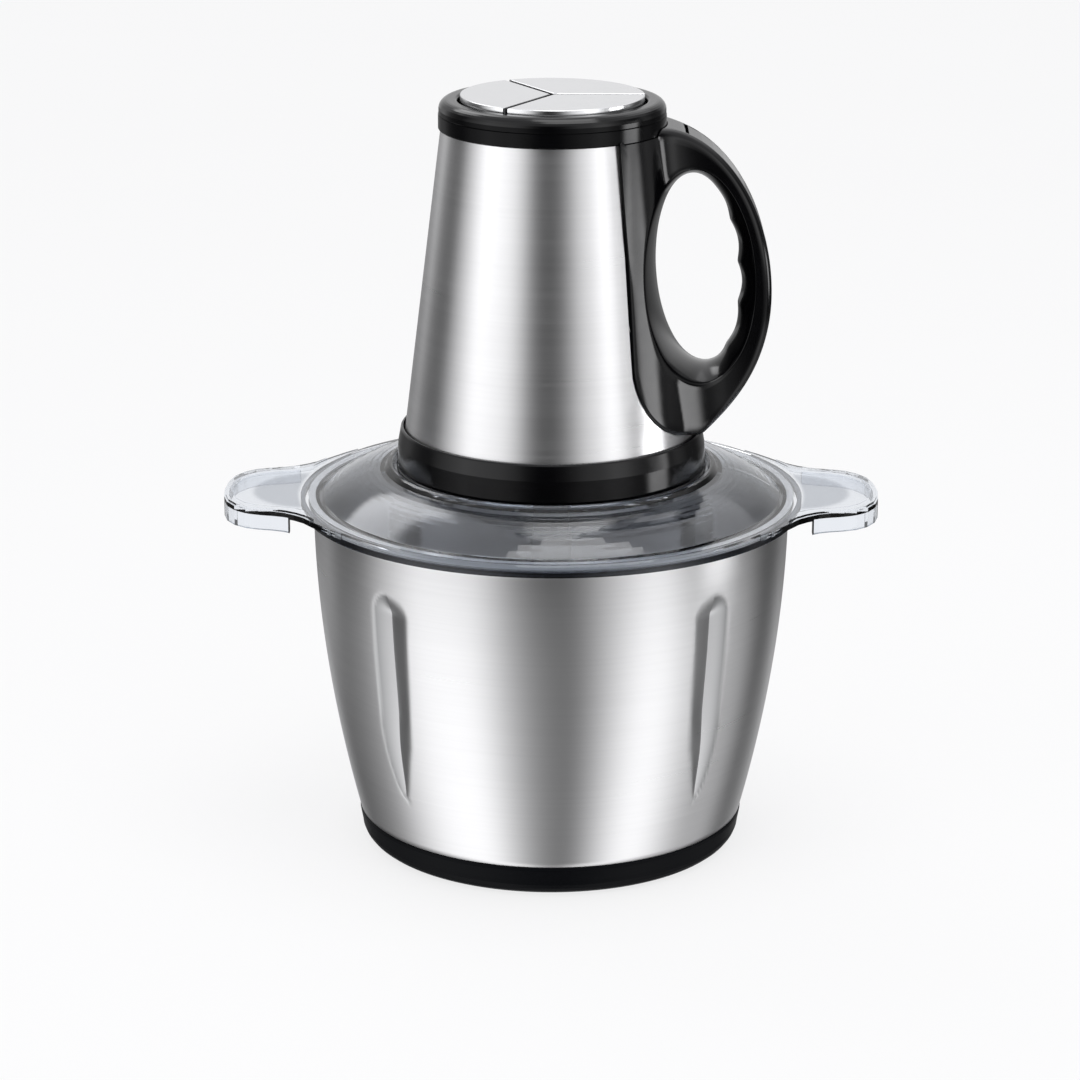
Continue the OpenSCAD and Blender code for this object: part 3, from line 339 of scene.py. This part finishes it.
flute_low, flute_high, flute_end, crease_high = 33.5, 109.5, 120, 113
flute_turn, flute_spread = 42, 9
flute_deep, flank_wide, bed_wide, top_round = 2.7, 9.8, 7.8, 8.2
flute = bowl.vertex_groups.new(name="flute")
flute_shades = []


def crease_turn(z):
    """Turn of the flute's crease from the front, in degrees: it bows to the side above its point."""
    share = (z - flute_low) / (crease_high - flute_low)
    return 42.7 - 0.7 * share + 0.9 * math.exp(-(((share - 0.25) / 0.2) ** 2))


def pressed(turn, z):
    """Share of the full depth that a point of the wall is pressed in, and how much painted shade darkens its
    steel there.
    """
    share = (z - flute_low) / (flute_high - flute_low)
    over = max(0, z - flute_high) / top_round
    if share <= 0 or over >= 1:
        return 0, 0
    along = math.radians(crease_turn(z) - turn) * wall_radius(z)
    flank = flank_wide * min(1, share / 0.3) ** 0.7 * (0.7 + 0.3 * min(share, 1)) * math.sqrt(1 - over**2)
    bed = bed_wide * min(1, share * 2.6) ** 0.45
    inward = max(0, 1 - math.hypot(min(along, 0) / bed, over))
    depth = inward**1.3 * min(1, share * 2.2) ** 0.6 * max(0, 1 - max(along, 0) / flank)
    # The second value is painted shade: how much darker the flank and the bed are painted.
    if along > 0:
        return depth, 0.62 * min(1, depth * 4)
    return depth, min(1, inward * 6) * (1 - 0.5 * inward)


for vert in bowl.data.vertices:
    x, y, z = vert.co / MM
    weight, flute_shade = 0, 0
    if flute_low < z < flute_end:
        turn = math.degrees(math.atan2(abs(x), abs(y)))
        turn += (crease_turn(z) - flute_turn) * math.exp(-(((turn - flute_turn) / flute_spread) ** 2))
        radius = math.hypot(x, y) * MM
        vert.co.x = math.copysign(radius * math.sin(math.radians(turn)), x)
        vert.co.y = math.copysign(radius * math.cos(math.radians(turn)), y)
        weight, flute_shade = pressed(turn, z)
    flute.add([vert.index], weight, "REPLACE")
    flute_shades += [flute_shade, flute_shade, flute_shade, 1]
bpy.ops.object.mode_set(mode="EDIT")
bpy.ops.mesh.select_all(action="DESELECT")
mesh = bmesh.from_edit_mesh(bowl.data)
for edge in mesh.edges:
    turns = [math.degrees(math.atan2(abs(vert.co.x), abs(vert.co.y))) for vert in edge.verts]
    heights = [vert.co.z / MM for vert in edge.verts]
    on_crease = all(abs(turn - crease_turn(z)) < 0.05 for turn, z in zip(turns, heights))
    edge.select = on_crease and min(heights) > flute_low - 2 and max(heights) < flute_high + 5
bpy.ops.mesh.mark_sharp()
bpy.ops.object.mode_set(mode="OBJECT")
# The flutes' painted shade, one value per point, kept in a colour attribute.
dull = bowl.data.color_attributes.new("dull", "FLOAT_COLOR", "POINT")
dull.data.foreach_set("color", flute_shades)
modifier(
    bowl, "DISPLACE",
    strength=-flute_deep * MM, mid_level=0, direction="NORMAL", vertex_group="flute",
)
modifier(bowl, "SOLIDIFY", thickness=0.8 * MM, offset=-1)

brushed_steel, tool = start("brushed_steel")
lines = grain(tool, (12, 12, 900), 1)
patches = grain(tool, (10, 10, 160), 2)
# Painted shade: the steel in the flutes' flank and bed is darkened towards dark grey.
flute_shade_mask = tool.node("ShaderNodeAttribute", {"attribute_name": "dull"}, output=2)
bright = (lines * 0.6 + patches * 0.4).blend((0.82, 0.82, 0.825, 1), (0.92, 0.92, 0.925, 1))
surface(
    brushed_steel,
    relief=lines,
    depth=0.0015,
    Base_Color=flute_shade_mask.blend(bright, (0.28, 0.283, 0.287, 1)),
    Metallic=1.0,
    Roughness=lines * 0.06 + 0.26,
    Anisotropic=0.6,
    Anisotropic_Rotation=0.25,
)
bowl.data.materials.append(brushed_steel)
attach(bowl, "bowl")
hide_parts("bowl_shell")


# The boot: a soft black cup, moulded and pressed on the bowl's foot, so that the bowl doesn't slide or
# scratch. The motor's dampers, the cord gland and the shaft seal have the same rubber.
boot_black, tool = start("boot_black")
speckle = grain(tool, (900, 900, 900))
surface(
    boot_black,
    relief=speckle,
    depth=0.01,
    Base_Color=speckle.blend((0.002, 0.0024, 0.0032, 1), (0.004, 0.0045, 0.006, 1)),
    Roughness=speckle * 0.12 + 0.3,
    Specular_IOR_Level=0.06,
)
dress(boot_black, "base_boot", "motor_damper", "cord_gland", "shaft_seal")


# The centre pin: turned steel, fixed to the bowl's floor, and the spindle's bore turns on it. The two
# S blades have the same bright steel, ground along their edges.
blade_steel, tool = start("blade_steel")
streaks = grain(tool, (700, 60, 60), 4)
surface(
    blade_steel,
    relief=streaks,
    depth=0.008,
    Base_Color=streaks.blend((0.66, 0.67, 0.68, 1), (0.8, 0.81, 0.82, 1)),
    Metallic=1.0,
    Roughness=streaks * 0.12 + 0.16,
)
dress(blade_steel, "bowl_pin", "lower_blade", "upper_blade")


# The spindle with its spacer and cap: moulded white plastic, with a bush pressed in its bore. The
# planet gears are moulded like it, and the sun gear and brush holders have the bush's brass.
white_plastic, tool = start("white_plastic")
cloud = grain(tool, (60, 60, 60))
surface(
    white_plastic, Base_Color=cloud.blend((0.62, 0.62, 0.61, 1), (0.68, 0.68, 0.67, 1)),
    Roughness=cloud * 0.1 + 0.3,
)
dress(
    white_plastic, "blade_spindle", "blade_spacer", "blade_cap",
    "planet_gear_1", "planet_gear_2", "planet_gear_3",
)
brass, tool = start("brass")
worn = grain(tool, (400, 400, 90))
surface(
    brass,
    Base_Color=worn.blend((0.6, 0.42, 0.16, 1), (0.75, 0.56, 0.25, 1)),
    Metallic=1.0,
    Roughness=worn * 0.2 + 0.2,
)
dress(brass, "spindle_bush", "sun_gear", "brush_holders")


# The lid: moulded clear plastic with a sunk seat for the head and two ears, and a silicone seal in its
# flange. Its dome, the flange's front, the sunk ear panels and the skirt's outer wall are painted darker as
# shade; the plastic is evenly clear.
clear_plastic, tool = start("clear_plastic")
ripple = grain(tool, (30, 30, 30), 1)
ear_x, panel_long, panel_wide = 0.092, 0.023, 0.024
east, north, up, radius = own_place(tool)
panel_x = (tool.math("ABSOLUTE", east) - ear_x) * (1 / panel_long)
panel_y = north * (1 / panel_wide)
panel_reach = tool.math("SQRT", panel_x * panel_x + panel_y * panel_y)
# Painted shade: the sunk ear panels are darker than the rest of the lid.
panel_shade_mask = (1 - panel_reach.step(0.88, 1.02)) * radius.step(0.0955, 0.0975)
flange = radius.step(0.0868, 0.0885) * (1 - radius.step(0.0955, 0.0975))
# Painted shade: the dome is darker than the clear rim outside it.
dome_shade = ripple.blend((0.7, 0.73, 0.78, 1), (0.74, 0.77, 0.82, 1))
clear = radius.step(0.086, 0.088).blend(dome_shade, (0.86, 0.89, 0.935, 1))
# Painted shade: the flange is darker at the front than at the back.
flange_front_shade = north.step(-0.095, -0.06).blend((0.66, 0.7, 0.76, 1), (0.93, 0.95, 0.98, 1))
painted_lid_shade = panel_shade_mask.blend(flange.blend(clear, flange_front_shade), (0.54, 0.57, 0.62, 1))
# Painted shade: a dark band on the skirt's outer wall, all round.
skirt_shade_mask = (1 - up.step(0.1348, 0.1354)) * (1 - radius.step(0.0962, 0.0968)) * radius.step(0.0925, 0.0935)
surface(
    clear_plastic,
    Base_Color=skirt_shade_mask.blend(painted_lid_shade, (0.03, 0.035, 0.045, 1)),
    Roughness=0.02,
    IOR=1.49,
    Transmission_Weight=1.0,
)
dress(clear_plastic, "lid")
silicone, tool = start("silicone")
cloud = grain(tool, (200, 200, 200))
surface(
    silicone, Base_Color=cloud.blend((0.7, 0.71, 0.72, 1), (0.78, 0.79, 0.8, 1)),
    Roughness=cloud * 0.2 + 0.4,
)
dress(silicone, "lid_seal")


# The head's base ring: moulded gloss plastic that stands in the lid's seat and carries the shell, the
# gearbox and the motor.
black_gloss, tool = start("black_gloss")
peel = grain(tool, (220, 220, 220), 2)
surface(
    black_gloss,
    relief=peel,
    depth=0.004,
    Base_Color=peel.blend((0.001, 0.001, 0.0013, 1), (0.002, 0.002, 0.0026, 1)),
    Roughness=peel * 0.06 + 0.1,
    Specular_IOR_Level=0.36,
)
dress(black_gloss, "head_base")


# The gearbox in the base ring: a cast housing and cover, a steel ring gear, planets on a carrier, and
# their screws. The motor's brackets are cast like the housing.
cast_metal, tool = start("cast_metal")
sand = grain(tool, (500, 500, 500), 4)
surface(
    cast_metal,
    relief=sand,
    depth=0.05,
    Base_Color=sand.blend((0.42, 0.43, 0.45, 1), (0.6, 0.61, 0.63, 1)),
    Metallic=1.0,
    Roughness=sand * 0.25 + 0.35,
)
dress(cast_metal, "gearbox_housing", "gearbox_cover", "lower_bracket", "upper_bracket")
screw_steel, tool = start("screw_steel")
streaks = grain(tool, (600, 600, 300))
surface(
    screw_steel, Base_Color=streaks.blend((0.6, 0.6, 0.61, 1), (0.75, 0.75, 0.76, 1)), Metallic=1.0,
    Roughness=streaks * 0.15 + 0.2,
)
dress(
    screw_steel, "gearbox_screws", "base_screws", "motor_bolts", "handle_screws", "collar_screws",
    "motor_shaft", "planet_carrier", "planet_pins", "drive_clip", "output_bearing", "lower_bearing",
    "upper_bearing", "button_spring_1", "button_spring_2", "button_spring_3",
)
dark_steel, tool = start("dark_steel")
layers = grain(tool, (40, 40, 2000), 2)
surface(
    dark_steel,
    relief=layers,
    depth=0.03,
    Base_Color=layers.blend((0.12, 0.12, 0.13, 1), (0.28, 0.28, 0.3, 1)),
    Metallic=1.0,
    Roughness=layers * 0.2 + 0.4,
)
dress(dark_steel, "ring_gear", "motor_stator", "armature_core")


# The motor on its rubber dampers: a laminated stator with two coils, a wound armature, a commutator
# and brushes, with a moulded fan below it on the shaft.
copper, tool = start("copper")
windings = grain(tool, (300, 300, 2500), 2)
surface(
    copper,
    relief=windings,
    depth=0.06,
    Base_Color=windings.blend((0.45, 0.16, 0.06, 1), (0.75, 0.36, 0.18, 1)),
    Metallic=1.0,
    Roughness=windings * 0.2 + 0.25,
)
dress(copper, "field_coils", "armature_winding", "commutator")
dark_plastic, tool = start("dark_plastic")
grit = grain(tool, (800, 800, 800))
surface(
    dark_plastic,
    relief=grit,
    depth=0.02,
    Base_Color=grit.blend((0.018, 0.018, 0.02, 1), (0.035, 0.035, 0.04, 1)),
    Roughness=grit * 0.2 + 0.4,
)
dress(dark_plastic, "carbon_brushes", "cooling_fan", "drive_dog", "switch_bracket", "microswitches")


# The control board and its capacitor, near the switches at the top of the head: a coated green board
# and a moulded yellow block.
board_green, tool = start("board_green")
traces = grain(tool, (500, 500, 500), 5)
surface(
    board_green, Base_Color=traces.blend((0.01, 0.09, 0.035, 1), (0.02, 0.2, 0.08, 1)),
    Roughness=traces * 0.2 + 0.3,
)
dress(board_green, "control_board")
capacitor, tool = start("capacitor")
foil = grain(tool, (200, 200, 200))
surface(
    capacitor, Base_Color=foil.blend((0.5, 0.3, 0.03, 1), (0.6, 0.4, 0.06, 1)),
    Roughness=foil * 0.1 + 0.3,
)
dress(capacitor, "run_capacitor")


# The shell: a rolled cone of brushed steel like the bowl's, on the base ring. It is open on the
# handle's side, where the moulding closes it.
dress(brushed_steel, "motor_shell")


# The handle: one gloss moulding with finger scallops that closes the steel shell, and its separate
# back strip. Its rim beside the steel has a narrow groove, and screws hold it.
LOOP_COLUMNS = 240
loop_x, loop_z = 56, 224.05
base_z, top_z = 163.95, 277.95
strip_half, strip_start, strip_end, strip_deep = 8.4, -60, 96, 2.2
hole, hole_tilt, scallop_pitch = (55, 224.85), 5, 16.5
bow, bow_wide, bow_high, bow_low = (36, 216.05), 46.3, 64.6, 56.4
lobe, lobe_inner, lobe_outer, lobe_high = (57, 201.95), 27.9, 32.3, 36.6
steel_x, steel_z, steel_lean = 29.4, 199.95, 0.067
grip_half, grip_soft, groove_deep = 12, 4.8, 0.9


def reach(turn, centre, wide, high, tilt=0):
    """Distance from the loop's middle to an ellipse, in the direction of the turn."""
    c, s = math.cos(math.radians(tilt)), math.sin(math.radians(tilt))
    x, z = loop_x - centre[0], loop_z - centre[1]
    from_x, from_z = (x * c + z * s) / wide, (z * c - x * s) / high
    go_x = (math.cos(turn) * c + math.sin(turn) * s) / wide
    go_z = (math.sin(turn) * c - math.cos(turn) * s) / high
    along, length = from_x * go_x + from_z * go_z, go_x**2 + go_z**2
    return (math.sqrt(along**2 - length * (from_x**2 + from_z**2 - 1)) - along) / length


def outer_reach(turn):
    """Distance to the outline: a straight rim beside the steel, a lobe below, and the grip's bow."""
    go_x, go_z = math.cos(turn), math.sin(turn)
    found = reach(turn, bow, bow_wide, bow_high)
    if loop_z + found * go_z < bow[1]:
        found = reach(turn, bow, bow_wide, bow_low)
    elif go_z > 0.1 and loop_x + found * go_x < bow[0]:
        found = (bow[1] + bow_high - loop_z) / go_z
    towards_rim = go_x + steel_lean * go_z
    if towards_rim < -0.01:
        found = min(found, (steel_x - steel_lean * (loop_z - steel_z) - loop_x) / towards_rim)
    if loop_z + found * go_z < lobe[1]:
        found = min(found, reach(turn, lobe, lobe_inner if go_x < 0 else lobe_outer, lobe_high))
    return found


def cone_radius(z):
    """Radius of the steel shell's cone at a height."""
    return 55.5 - 13.9 * (z - base_z) / (top_z - base_z)


def half_width(x, z):
    """Half of the moulding's width: it follows the shell's cone, then draws in to the grip."""
    cone = math.sqrt(max(0, (cone_radius(z) + 0.8) ** 2 - x**2))
    high = min(1, max(0, (z - 222) / 28))
    fall = 0.9 + 0.7 * high * high * (3 - 2 * high)
    inside = (steel_x + 26 / fall - (x - cone_radius(z) + 48)) / grip_soft
    grip = grip_half + grip_soft * fall * math.log1p(math.exp(inside))
    return (cone + grip + math.sqrt((cone - grip) ** 2 + 1.5)) / 2


def section(turn):
    """Points of one half section, from the middle of the hole's wall over the face to the back."""
    go_x, go_z = math.cos(turn), math.sin(turn)
    outer, crease = outer_reach(turn), reach(turn, hole, 20.8, 40.2, hole_tilt)
    middle = reach(turn, hole, 15.8, 37, hole_tilt)
    side = min(1, max(0, (go_x * middle - 5) / 5))
    finger = math.sin(math.radians((middle * go_z - 4) * 180 / scallop_pitch))
    middle += side * (1.5 * math.sqrt(finger**2 + 0.015) - 1.05)
    crease_width = half_width(loop_x + crease * go_x, loop_z + crease * go_z)
    rim_width = half_width(loop_x + outer * go_x, loop_z + outer * go_z)
    edge = float(np.interp(rim_width, [13, 17, 22, 30], [3.5, 2.8, 1.2, 0.6]))
    groove = min(1, max(0, (rim_width - 20) / 5))
    shoulder = outer - groove_deep * groove
    half = [
        (middle + (crease - middle) * v**2, crease_width * v)
        for v in (0, 0.15, 0.3, 0.45, 0.6, 0.72, 0.84, 0.93)
    ]

    def on_face(distance, drop=0.0):
        return distance, half_width(loop_x + distance * go_x, loop_z + distance * go_z) - drop

    first, last = half[-1], on_face(crease + (shoulder - edge - crease) * 0.06)
    bend = (crease, crease_width)
    for share in (0.3, 0.5, 0.7):
        half.append(tuple(
            first[i] * (1 - share) ** 2 + bend[i] * 2 * share * (1 - share) + last[i] * share**2
            for i in (0, 1)
        ))
    half.append(last)
    half += [on_face(crease + (shoulder - edge - crease) * s) for s in (0.15, 0.28, 0.42, 0.56, 0.7, 0.85, 1)]
    for angle in np.radians([15, 30, 45, 60, 75, 90]):
        half.append(on_face(shoulder - edge + edge * math.sin(angle), edge * (1 - math.cos(angle))))
    side_width = on_face(outer, edge + groove_deep * groove)[1]
    half += [(shoulder, side_width), (outer, side_width)]
    rebate = strip_deep if strip_start <= math.degrees(turn) <= strip_end else 0
    half += [(outer, strip_half + 0.1), (outer - rebate, strip_half + 0.1), (outer - rebate, 0)]
    return [(loop_x + distance * go_x, -width, loop_z + distance * go_z) for distance, width in half]


section_rows = len(section(0))
bpy.ops.object.select_all(action="DESELECT")
bpy.ops.mesh.primitive_circle_add(
    vertices=LOOP_COLUMNS, radius=30 * MM,
    location=(loop_x * MM, 0, loop_z * MM), rotation=(math.pi / 2, 0, 0),
)
bpy.ops.object.transform_apply()
handle = bpy.context.active_object
handle.name = "handle_moulding"
bpy.ops.object.mode_set(mode="EDIT")
for row in range(section_rows - 1):
    bpy.ops.mesh.extrude_region_move(TRANSFORM_OT_translate={"value": (0, -MM, 0)})
bpy.ops.object.mode_set(mode="OBJECT")
sections = {}
for vert in handle.data.vertices:
    x, y, z = vert.co / MM
    column = round(math.atan2(z - loop_z, x - loop_x) / math.tau * LOOP_COLUMNS)
    if column not in sections:
        sections[column] = section(column * math.tau / LOOP_COLUMNS)
    vert.co = [value * MM for value in sections[column][round(-y)]]
modifier(handle, "MIRROR", use_axis=(False, True, False), merge_threshold=0.02 * MM)


def cutter(low, high, low_radius, high_radius, up_to_x=None):
    """A cone for cutting, and flat at up_to_x where that is given."""
    bpy.ops.object.select_all(action="DESELECT")
    bpy.ops.mesh.primitive_cone_add(
        vertices=240,
        radius1=low_radius * MM,
        radius2=high_radius * MM,
        depth=(high - low) * MM,
        location=(0, 0, (low + high) / 2 * MM),
    )
    made = bpy.context.active_object
    if up_to_x:
        bpy.ops.object.mode_set(mode="EDIT")
        bpy.ops.mesh.bisect(
            plane_co=(up_to_x * MM, 0, 0), plane_no=(1, 0, 0), use_fill=True, clear_outer=True
        )
        bpy.ops.object.mode_set(mode="OBJECT")
    return made


lining = 3.2
ring_low, ring_high = 155.95, 181.45
room_low, room_high, room_x = 155.9, 285.95, 31
collar_low, collar_high, collar_r = 277.85, 295, 42.9
for tool_piece in (
    cutter(ring_low, ring_high, cone_radius(ring_low) - lining, cone_radius(ring_high) - lining),
    cutter(
        room_low, room_high, cone_radius(room_low) - lining, cone_radius(room_high) - lining, room_x
    ),
    cutter(collar_low, collar_high, collar_r, collar_r),
):
    modifier(handle, "BOOLEAN", object=tool_piece, operation="DIFFERENCE", solver="EXACT")
    bpy.data.objects.remove(tool_piece)
bpy.context.view_layer.objects.active = handle
handle.select_set(True)
bpy.ops.object.mode_set(mode="EDIT")
finished(handle, 40)
handle.data.materials.append(black_gloss)
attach(handle, "head")
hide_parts("handle_body")
dress(black_gloss, "handle_back_strip")


# The collar: a lower band with the switch floor, and the ring round the buttons. Both are moulded in
# the handle's gloss plastic, and screws hold them.
dress(black_gloss, "collar_band", "top_collar")


# The buttons: three plated sectors with rounded edges, each moulded with a stem that stands on its
# own coil spring. The sides in the gaps between them are painted dark and dull as shade.
button_chrome, tool = start("button_chrome")
haze = grain(tool, (120, 120, 120))
_, _, up, radius = own_place(tool)
# Painted shade: the straight sides below the top, in the gaps, are made dark and not metallic.
gap_shade_mask = (1 - up.step(0.2902, 0.29035)) * (1 - radius.step(0.0325, 0.0335))
surface(
    button_chrome,
    Base_Color=gap_shade_mask.blend(
        haze.blend((0.86, 0.87, 0.88, 1), (0.93, 0.93, 0.94, 1)), (0.01, 0.01, 0.012, 1)
    ),
    Metallic=1 - gap_shade_mask,
    Roughness=haze * 0.06 + gap_shade_mask * 0.3 + 0.14,
)
button_low, button_high, button_edge = 284.95, 290.65, 0.32
button_r, button_side = 34.3, 0.95
stem_r, stem_x, stem_low, stem_long = 3.3, 18, 277.75, 7.3
SIDE_POINTS, ARC_POINTS = 20, 80
BUTTON_POINTS = 2 * SIDE_POINTS + ARC_POINTS


def sector_point(number, inset):
    """A point of the sector's outline, drawn in by the inset: two straight sides and an arc."""
    slope = math.radians(60)
    apex, radius = (button_side + inset) / math.sin(slope), button_r - inset
    side = math.sqrt(radius**2 - (apex * math.sin(slope)) ** 2) - apex * math.cos(slope)
    end = math.atan2(side * math.sin(slope), apex + side * math.cos(slope))
    if number <= SIDE_POINTS or number >= SIDE_POINTS + ARC_POINTS:
        along = (number if number <= SIDE_POINTS else number - BUTTON_POINTS) / SIDE_POINTS
        return apex + abs(along) * side * math.cos(slope), along * side * math.sin(slope)
    turn = end - (number - SIDE_POINTS) / ARC_POINTS * 2 * end
    return radius * math.cos(turn), radius * math.sin(turn)


edge_turns = np.radians([0, 18, 36, 54, 72, 90])
button_rings = [(0, button_low)] + [
    (button_edge * (1 - math.cos(a)), button_high - button_edge * (1 - math.sin(a))) for a in edge_turns
] + [(button_edge + 0.3, button_high)]
bpy.ops.object.select_all(action="DESELECT")
bpy.ops.mesh.primitive_circle_add(vertices=BUTTON_POINTS, radius=20 * MM)
button = bpy.context.active_object
bpy.ops.object.mode_set(mode="EDIT")
for ring_number in range(len(button_rings) - 1):
    bpy.ops.mesh.extrude_region_move(TRANSFORM_OT_translate={"value": (0, 0, MM)})
bpy.ops.object.mode_set(mode="OBJECT")
for vert in button.data.vertices:
    x, y, z = vert.co / MM
    inset, height = button_rings[round(z)]
    number = round(math.atan2(-y, x) / math.tau * BUTTON_POINTS) % BUTTON_POINTS
    x, y = sector_point((BUTTON_POINTS - number) % BUTTON_POINTS, inset)
    vert.co = (x * MM, y * MM, height * MM)
bpy.ops.object.mode_set(mode="EDIT")
for ring_height in (button_low, button_high):
    bpy.ops.mesh.select_all(action="DESELECT")
    bpy.ops.mesh.select_non_manifold()
    mesh = bmesh.from_edit_mesh(button.data)
    for vert in mesh.verts:
        vert.select = vert.select and abs(vert.co.z - ring_height * MM) < 0.01 * MM
    mesh.select_flush_mode()
    bpy.ops.mesh.edge_face_add()
finished(button, 50)
bpy.ops.object.select_all(action="DESELECT")
bpy.ops.mesh.primitive_circle_add(
    vertices=40, radius=stem_r * MM, fill_type="NGON", location=(stem_x * MM, 0, stem_low * MM)
)
bpy.ops.object.mode_set(mode="EDIT")
bpy.ops.mesh.extrude_region_move(TRANSFORM_OT_translate={"value": (0, 0, stem_long * MM)})
finished(bpy.context.active_object)
button.select_set(True)
bpy.context.view_layer.objects.active = button
bpy.ops.object.join()
button.data.materials.append(button_chrome)
for number in (1, 2, 3):
    bpy.ops.object.select_all(action="DESELECT")
    button.select_set(True)
    bpy.context.view_layer.objects.active = button
    bpy.ops.object.duplicate()
    sector = bpy.context.active_object
    sector.name = f"button_{number}_sector"
    bpy.ops.object.mode_set(mode="EDIT")
    bpy.ops.mesh.select_all(action="SELECT")
    bpy.ops.transform.rotate(
        value=math.radians(60 - 120 * number), orient_axis="Z", center_override=(0, 0, 0)
    )
    bpy.ops.object.mode_set(mode="OBJECT")
    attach(sector, f"button_{number}")
    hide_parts(f"button_{number}")
    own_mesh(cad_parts[f"button_spring_{number}"])
bpy.data.objects.remove(button)
